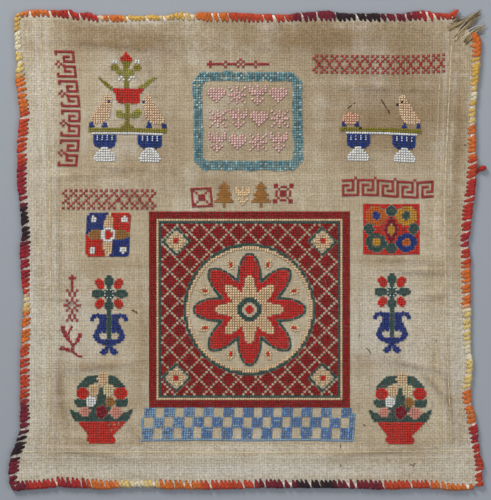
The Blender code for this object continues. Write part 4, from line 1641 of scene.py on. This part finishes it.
def wrap_line(width):
    """Middle line of each wrap in (inward, height), from the hole below to the hole above."""
    steps = np.linspace(0.0, 1.0, WRAP_STATIONS)[None, :]
    angle = math.pi * (np.clip((steps - NOSE_FROM) / (1.0 - 2.0 * NOSE_FROM), 0.0, 1.0) - 0.5)
    radius = (WRAP_HIGH - WRAP_LOW) / 2.0
    nose = WRAP_NOSE + radius * (1.0 - np.cos(angle)) * 0.8
    height = (WRAP_LOW + WRAP_HIGH) / 2.0 + radius * np.sin(angle)
    under = np.clip((NOSE_FROM - steps) / NOSE_FROM, 0.0, 1.0)
    over = np.clip((steps - 1.0 + NOSE_FROM) / NOSE_FROM, 0.0, 1.0)
    flat = under + over
    turn = nose.max()
    inward = np.where(flat > 0.0, turn + (width[:, None] - turn) * flat, nose)
    tall = height + 0.35 * under ** 2 - 1.15 * over ** 2.4
    return inward, np.broadcast_to(tall, inward.shape), steps


def beside_edge(side, along, inward, height):
    """Points of the model from places along a side, some way inward from its outer edge."""
    beside = read_row(side.rows, along, 1) + side.inward * inward
    return place(along, beside, height) if side.level else place(beside, along, height)


def direction(start, end):
    """Unit steps from points to others."""
    step = end - start
    return step / np.linalg.norm(step, axis=-1, keepdims=True)


def make_edging(name, side, material):
    """One side of the overcast: two flattened, twisted plies for each wrap."""
    chooser = np.random.default_rng(side.seed)
    start, end = side.rows[0][0], side.rows[-1][0]
    along = wrap_places(start, end, side.worn, chooser)
    count = len(along)
    width = read_row(side.rows, along, 2) * chooser.uniform(0.98, 1.12, count)
    inward, height, steps = wrap_line(width)
    edge_shift = chooser.uniform(-0.6, 0.4, count)
    fade = np.minimum(np.minimum(along - start, end - along) / SLANT_FADE, 1.0)
    slant = side.clockwise * WRAP_SLANT * fade
    depth = inward / width[:, None]
    lean = slant[:, None] * depth * np.where(height > MID_HEIGHT, 1.0, UNDER_SLANT)
    near_hole = smooth_step(0.5, 1.04, depth)
    half_width = mix(*WRAP_HALF_WIDTHS, near_hole) * chooser.uniform(0.92, 1.12, (count, 1))
    half_height = mix(*WRAP_HALF_HEIGHTS, near_hole)
    run_inward = np.gradient(inward, axis=1)
    run_height = np.gradient(height, axis=1)
    length = np.hypot(run_inward, run_height) + 1e-9
    out_inward = -run_height / length
    out_height = run_inward / length
    groups = []
    phase = chooser.uniform(0.0, math.tau, count)
    turns = chooser.uniform(0.8, 1.3, count)
    for ply in (0, 1):
        swing = phase[:, None] + math.pi * ply + math.tau * turns[:, None] * steps
        lift_shift = np.sin(swing) * half_height * 0.42
        places = along[:, None] + lean + np.cos(swing) * half_width * 0.36
        inside = inward + out_inward * lift_shift + edge_shift[:, None] * (1.0 - depth)
        tall = np.maximum(height + out_height * lift_shift, half_height * 0.72)
        middles = beside_edge(side, places, inside, tall)
        beside = direction(middles, beside_edge(side, places + 1.0, inside, tall))
        inward_way = direction(middles, beside_edge(side, places, inside + 1.0, tall))
        above = inward_way * out_inward[..., None] + UP * out_height[..., None]
        tips = np.stack([middles[:, 0], middles[:, -1] + inward_way[:, -1] * 0.9 * MM], 1)
        tips[..., 2] += np.array((0.5, -0.8)) * MM
        sizes = (half_width * PLY_WIDTH * MM, half_height * PLY_HEIGHT * MM)
        points = tube_points(middles, beside, above, *sizes, WRAP_SECTION, tips)
        points[..., 2] = np.maximum(points[..., 2], 0.0)
        sewn = along[:, None] + (steps - 0.5) * 3.0 * side.clockwise
        body = dye_along(side.dyes, sewn) * chooser.normal(1.0, 0.07, (count, 1, 1))
        # Painted shade where each wrap goes down into its hole, darkest at the tip inside it.
        body = body * mix(1.0, HOLE_SHADE, smooth_step(0.86, 1.02, depth))[..., None]
        body = np.repeat(body, len(WRAP_SECTION), 1)
        colours = np.concatenate([body[:, :1], body, WRAP_TIP_SHADE * body[:, -1:]], 1)
        groups.append((points, np.clip(colours, 0.0, 1.0), tube_pattern(len(WRAP_SECTION), WRAP_STATIONS)))
    return dress(join_tubes(name + "_wraps", groups), material, "edging_wool", name)


FUZZ_SPACING = 0.85
FUZZ_RADIUS = 0.075
FUZZ_HEIGHTS = (0.2, 4.95)


def make_fuzz(material):
    """Short loose fibres that stand out from the wool all round the edge."""
    chooser = np.random.default_rng(83)
    steps = np.array((0.0, 0.5, 1.0))
    paths = []
    colours = []
    for side in SIDES.values():
        start, end = side.rows[0][0] + 2.0, side.rows[-1][0] - 2.0
        for along in np.arange(start, end, FUZZ_SPACING):
            along = along + chooser.normal(0.0, 0.5)
            places = along + chooser.normal(0.0, 0.9) * steps
            reach = chooser.uniform(0.4, 1.7)
            over = chooser.uniform(0.0, 1.0) < 0.35
            inward = (chooser.uniform(1.0, 6.0) + 0.8 * steps) if over else 0.7 - reach * steps
            base = 4.3 if over else chooser.uniform(1.2, 3.6)
            height = base + chooser.uniform(-0.3, 0.9) * steps + 0.4 * np.sin(math.pi * steps)
            paths.append(beside_edge(side, places, inward, np.clip(height, *FUZZ_HEIGHTS)))
            colours.append(dye_along(side.dyes, np.clip(along, start, end)) * chooser.uniform(0.8, 1.3))
    radii = np.full((len(paths), 3), FUZZ_RADIUS * MM)
    return make_threads("edging_fuzz", paths, radii, np.clip(colours, 0.0, 1.0), 3, material, "edging_wool")


HEM_EDGE_PITCH = 2.6
HEM_EDGE_IN = 3.4
HEM_EDGE_HALVES = (2.4, 0.8)


def make_hem_edge(material):
    """The pale folded edge of the linen inside the wraps, seen between their groups."""
    groups = []
    for side in SIDES.values():
        along = np.arange(side.rows[0][0] + 1.0, side.rows[-1][0] - 1.0, HEM_EDGE_PITCH)
        middles = beside_edge(side, along, HEM_EDGE_IN, MID_HEIGHT)[None]
        inner = beside_edge(side, along, HEM_EDGE_IN + 1.0, MID_HEIGHT)[None]
        beside = (inner - middles) / MM * -side.clockwise
        wide, tall = (np.full(middles.shape[:2], half * MM) for half in HEM_EDGE_HALVES)
        above = np.broadcast_to(UP, beside.shape)
        points = tube_points(middles, beside, above, wide, tall, WRAP_SECTION, middles[:, [0, -1]])
        dyes = np.broadcast_to(linear("e8d8c9"), points.shape)
        groups.append((points, dyes, tube_pattern(len(WRAP_SECTION), middles.shape[1])))
    return dress(join_tubes("hem_edge", groups), material, "linen_threads")


# Single threads.

def thread_group(paths, radii, colours, sides):
    """Round threads through lists of points in metres, all with the same number of stations."""
    middles = np.array(paths)
    run = np.gradient(middles, axis=1)
    run /= np.linalg.norm(run, axis=-1, keepdims=True) + 1e-12
    beside = np.cross(UP, run)
    beside /= np.linalg.norm(beside, axis=-1, keepdims=True) + 1e-12
    above = np.cross(run, beside)
    start = middles[:, 0] - run[:, 0] * radii[:, :1]
    end = middles[:, -1] + run[:, -1] * radii[:, -1:]
    points = tube_points(middles, -beside, above, radii, radii, circle(sides), np.stack([start, end], 1))
    dyes = np.broadcast_to(np.array(colours)[:, None, :], points.shape)
    return points, dyes, tube_pattern(sides, middles.shape[1])


# Ends of yarn. Rows: (across, down, height, radius).
END_STATIONS = 15
END_PLIES = 5
YARN_END_PATH = (
    (476.9, 173.3, 1.1, 1.1),
    (478.6, 171.2, 1.1, 1.0),
    (480.3, 170.1, 1.8, 2.0),
    (481.6, 169.2, 2.4, 3.3),
    (482.6, 168.4, 2.4, 3.7),
    (483.6, 167.4, 2.0, 2.9),
)
TOP_END_PATH = (
    (445.5, 16.2, 3.0, 1.2),
    (449.0, 15.6, 3.4, 1.6),
    (452.0, 14.0, 3.4, 1.9),
    (455.0, 12.0, 3.0, 2.0),
    (457.4, 10.4, 2.3, 1.4),
)
RIGHT_END_PATH = (
    (474.4, 34.6, 2.6, 2.2),
    (475.0, 36.4, 2.6, 3.2),
    (475.6, 39.0, 2.6, 3.6),
    (476.2, 41.8, 2.5, 3.0),
    (476.8, 44.4, 2.3, 1.8),
)


def make_threads(name, paths, radii, colours, sides, material, slot, *nodes):
    """A piece of round threads."""
    threads = thread_group(paths, np.array(radii), colours, sides)
    return dress(join_tubes(name, [threads]), material, slot, *nodes)


def make_end(name, rows, colour, seed, material):
    """A short end of yarn: plies that open into a thick untwisted tip."""
    steps = np.linspace(0.0, len(rows) - 1.0, END_STATIONS)
    marks = np.arange(len(rows))
    across, down, height, radius = (np.interp(steps, marks, column) for column in zip(*rows))
    chooser = np.random.default_rng(seed)
    paths = []
    radii = []
    for ply in range(END_PLIES):
        swing = math.tau * ply / END_PLIES + steps * 1.5
        wide = radius * 0.5
        ply_height = np.clip(height + np.sin(swing) * wide * 0.6, 0.62 * radius, 4.7 - 0.55 * radius)
        paths.append(place(across + np.cos(swing) * wide, down + np.sin(swing) * 0.5 * wide, ply_height))
        radii.append(radius * 0.55 * chooser.uniform(0.85, 1.1) * MM)
    colours = np.array([linear(colour)] * END_PLIES) * chooser.uniform(0.8, 1.1, (END_PLIES, 1))
    return make_threads(name, paths, radii, colours, 7, material, "edging_wool")


# Rows: root, middle and tip, each across and down, then spread and number of threads.
FRAYS = (
    (449.0, 28.5, 463.0, 23.0, 479.5, 12.5, 1.6, 34),
    (455.5, 40.0, 463.0, 28.0, 477.0, 15.5, 1.9, 40),
    (464.0, 41.0, 470.0, 33.5, 484.0, 26.0, 2.2, 24),
    (452.5, 22.0, 456.0, 19.5, 462.5, 17.5, 1.2, 12),
    (460.0, 30.0, 467.0, 24.0, 474.0, 20.0, 3.6, 14),
)
FRAY_STATIONS = 8
# Tones of the loose threads: their own tones, with the darkest also standing in for painted shade between
# them and the palest for painted highlights on them.
FRAY_COLOURS = ("5c4a34", "75613f", "8f7b5a", "b09c76", "c4b18b", "e6dabf")


def make_frayed_corner(material):
    """Loose linen threads that sweep out from the worn corner."""
    chooser = np.random.default_rng(91)
    steps = np.linspace(0.0, 1.0, FRAY_STATIONS)
    share = steps[:, None]
    paths = []
    radii = []
    colours = []
    for *places, spread, count in FRAYS:
        root, middle, tip = np.array(places).reshape(3, 2)
        for _ in range(count):
            shift = chooser.normal(0.0, spread * 0.6, 2)
            reach = chooser.uniform(0.72, 1.08)
            end = mix(middle, tip, reach) + shift * 1.5 + chooser.normal(0.0, spread * 0.5, 2)
            start = root + shift + chooser.normal(0.0, 1.2, 2)
            bend = middle + shift + chooser.normal(0.0, 0.7, 2)
            line = start * (1.0 - share) ** 2 + bend * 2.0 * share * (1.0 - share) + end * share ** 2
            ground = canvas_top(start[0:1], start[1:2])[0] + 0.1
            rise = chooser.uniform(0.0, 1.0) * np.sin(math.pi * steps)
            height = mix(ground, chooser.uniform(0.35, 1.6), steps ** 1.4) + rise
            paths.append(place(line[:, 0], line[:, 1], height))
            radii.append(chooser.uniform(0.18, 0.36) * MM * np.linspace(1.0, 0.65, FRAY_STATIONS))
            colours.append(np.array(linear(chooser.choice(FRAY_COLOURS))) * chooser.uniform(0.85, 1.1))
    parts = (paths, radii, colours, 5, material, "linen_threads", "frayed_corner")
    return make_threads("frayed_threads", *parts)


# Dark bits of thread caught in the weave. Rows: (across, down, half length, turn in degrees, radius).
SPECKS = (
    (134.4, 311.4, 2.6, 30.0, 0.5),
    (136.8, 312.6, 1.3, 70.0, 0.6),
    (132.8, 310.2, 1.5, -20.0, 0.45),
    (359.0, 335.0, 1.0, 90.0, 0.4),
    (367.6, 349.2, 2.0, 50.0, 0.42),
    (370.2, 352.0, 1.6, 60.0, 0.42),
    (412.0, 465.0, 2.0, 30.0, 0.42),
    (414.4, 463.6, 1.0, -30.0, 0.42),
    (436.0, 341.0, 1.2, 85.0, 0.42),
    (364.0, 425.0, 1.4, 40.0, 0.5),
    (340.5, 446.0, 1.8, 88.0, 0.42),
    (340.6, 465.0, 1.4, 92.0, 0.42),
    (382.2, 101.5, 2.4, 58.0, 0.7),
    (385.4, 106.6, 2.2, 60.0, 0.6),
    (388.6, 111.6, 1.8, 64.0, 0.75),
    (349.8, 106.8, 2.6, -38.0, 0.45),
    (354.4, 103.4, 0.7, -38.0, 0.5),
    (465.0, 145.0, 0.8, 0.0, 0.5),
)


def make_specks(material):
    """Short dark bits of thread on the linen."""
    chooser = np.random.default_rng(71)
    steps = np.linspace(-1.0, 1.0, 5)
    paths = []
    radii = []
    for middle_across, middle_down, half, turn, radius in SPECKS:
        angle = math.radians(turn)
        across = middle_across + math.cos(angle) * half * steps + chooser.normal(0.0, 0.15, 5)
        down = middle_down + math.sin(angle) * half * steps + chooser.normal(0.0, 0.15, 5)
        paths.append(place(across, down, canvas_top(across, down) + 0.12))
        radii.append(np.full(5, radius * MM))
    colours = np.tile(linear("54402c"), (len(paths), 1))
    return make_threads("dark_specks", paths, radii, colours, 4, material, "linen_threads")


# Lines of hem stitches. Rows: (seam, shift from it, start, end, radius of the thread).
SEAM_ROWS = (
    (0, 0.0, 22.0, 480.0, 0.5),
    (1, 0.0, 46.0, 478.0, 0.5),
    (2, 0.0, 24.0, 472.0, 0.5),
    (0, -14.0, 30.0, 470.0, 0.24),
    (1, -10.0, 60.0, 440.0, 0.26),
    (2, 6.5, 40.0, 460.0, 0.22),
)


def make_seams(material):
    """The pale thread that holds the turned hem, in long stitches, and a fainter one near the edge."""
    chooser = np.random.default_rng(55)
    paths = []
    radii = []
    colours = []
    for seam, shift, start, end, radius in SEAM_ROWS:
        way, marks, beside = HEM_SEAMS[seam]
        along = start
        while along < end:
            length = chooser.uniform(5.0, 9.0)
            places = along + length * np.array((0.0, 0.34, 0.67, 1.0))
            side = np.interp(places, marks, beside) + shift + chooser.normal(0.0, 0.12, 4)
            across, down = (side, places) if way == "down" else (places, side)
            rise = np.array((-0.25, 0.12, 0.12, -0.25)) * chooser.uniform(0.6, 1.1)
            paths.append(place(across, down, canvas_top(across, down) + rise))
            radii.append(np.full(4, radius * MM))
            colours.append(np.array(linear("d4c7a9")) * chooser.uniform(0.8, 1.05))
            along += length + chooser.uniform(0.2, 1.2)
    return make_threads("hem_seams", paths, radii, colours, 4, material, "linen_threads")


# The studio.

FLOOR_HEIGHT = -0.0003
# Rows: name, position, size, power, colour.
LIGHTS = (
    ("key", (-1.0, 1.7, 1.2), 0.8, 46.0, (1.0, 0.985, 0.95)),
    ("fill", (1.3, -0.2, 1.5), 1.4, 14.0, (0.95, 0.97, 1.0)),
)


def make_studio():
    """Pale floor, soft light from the upper left, and a camera straight above."""
    scene = bpy.context.scene
    bpy.ops.mesh.primitive_plane_add(size=4.0, location=(0.0, 0.0, FLOOR_HEIGHT))
    floor = bpy.context.object
    floor.name = "floor"
    graph = Graph("floor_card", 0.9)
    grain = graph.noise(graph.position(), 700.0, 3.0)
    card = graph.add("ShaderNodeRGB")
    card.outputs[0].default_value = (*linear("979ba1"), 1.0)
    colour = graph.tint(card.outputs[0], graph.remap(grain, 0.3, 0.7, 0.985, 1.015))
    floor.data.materials.append(graph.finish(colour, grain, 0.00005, 0.3))

    for name, position, size, power, colour in LIGHTS:
        data = bpy.data.lights.new(name, "AREA")
        data.size = size
        data.energy = power
        data.color = colour
        light = bpy.data.objects.new(name, data)
        light.location = position
        light.rotation_euler = (-Vector(position)).to_track_quat("-Z", "Y").to_euler()
        scene.collection.objects.link(light)

    world = bpy.data.worlds.new("studio")
    world.use_nodes = True
    sky = world.node_tree.nodes["Background"]
    sky.inputs[0].default_value = (0.80, 0.86, 0.95, 1.0)
    sky.inputs[1].default_value = 0.42
    scene.world = world

    data = bpy.data.cameras.new("camera")
    data.sensor_fit = "HORIZONTAL"
    data.sensor_width = SENSOR_WIDTH
    data.lens = SENSOR_WIDTH * VIEW_DISTANCE / (VIEW_WIDTH * MM)
    data.clip_start = 0.05
    data.clip_end = 20.0
    camera = bpy.data.objects.new("camera", data)
    camera.location = (*place(VIEW_ACROSS, VIEW_DOWN, 0.0)[:2], VIEW_DISTANCE)
    scene.collection.objects.link(camera)
    scene.camera = camera
    scene.view_settings.view_transform = "Standard"


FIRST_SEED = 100


def make_stitching(material):
    """Every worked motif, each as its own piece."""
    wave = ((313.0, 0.0), (400.0, 0.9), (430.0, 0.0), (445.0, -1.2))
    lattices = np.concatenate([
        bent(lattice(313.9, 55.9, 52, 2.54, 2.33), down_at=wave),
        lattice(63.4, 190.6, 37, 2.54, 2.5, slip_until=22),
    ])
    panel = big_panel()
    ground = panel[:, 2] == DYE_NAMES.index("brick")
    motifs = {
        "key_border_left": key_left(),
        "key_border_right": key_right(),
        "lattice_borders": lattices,
        "sprigs": sprigs(),
        "small_squares": small_squares(),
        "birds_and_pot": birds_and_pot(),
        "unfinished_bench": unfinished_bench(),
        "flower_vase_left": flower_vase(109.1, 0.0),
        "flower_vase_right": flower_vase(391.8, -2.0),
        "flower_basket_left": flower_basket(101.4, 0.0, BARE_SPECKS),
        "flower_basket_right": flower_basket(400.2, 0.6, ()),
        "rounded_frame": rounded_frame(),
        "heart_panel_motifs": heart_panel(),
        "star_block": left_block(),
        "blossom_block": right_block(),
        "panel_ground": panel[ground],
        "panel_motifs": panel[~ground],
        "checker_band": checker_band(),
        "tulip_and_trees": small_trees(),
    }
    rows = enumerate(motifs.items(), FIRST_SEED)
    return [stitch_piece(name, crosses, seed, material) for seed, (name, crosses) in rows]


make_studio()
canvas = make_canvas()
stitch_wool = wool_material("embroidery_wool", 3.0, 2600.0, 0.00012, 0.0, 0.2)
edging_wool = wool_material("edging_wool", 6.0, 1500.0, 0.00025, 0.05, 0.24)
linen_thread = wool_material("linen_thread", 9.0, 3000.0, 0.0001, 0.0, 0.15)
stitching = make_stitching(stitch_wool)
for side_name, side in SIDES.items():
    make_edging(side_name, side, edging_wool)
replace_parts(make_end("yarn_end_plies", YARN_END_PATH, "a32820", 77, edging_wool), "yarn_end")
make_end("top_edging_end", TOP_END_PATH, "bd4026", 78, edging_wool)
make_end("right_edging_end", RIGHT_END_PATH, "cd6622", 79, edging_wool)
make_fuzz(edging_wool)
make_frayed_corner(linen_thread)
make_seams(linen_thread)
make_hem_edge(linen_thread)
make_specks(linen_thread)
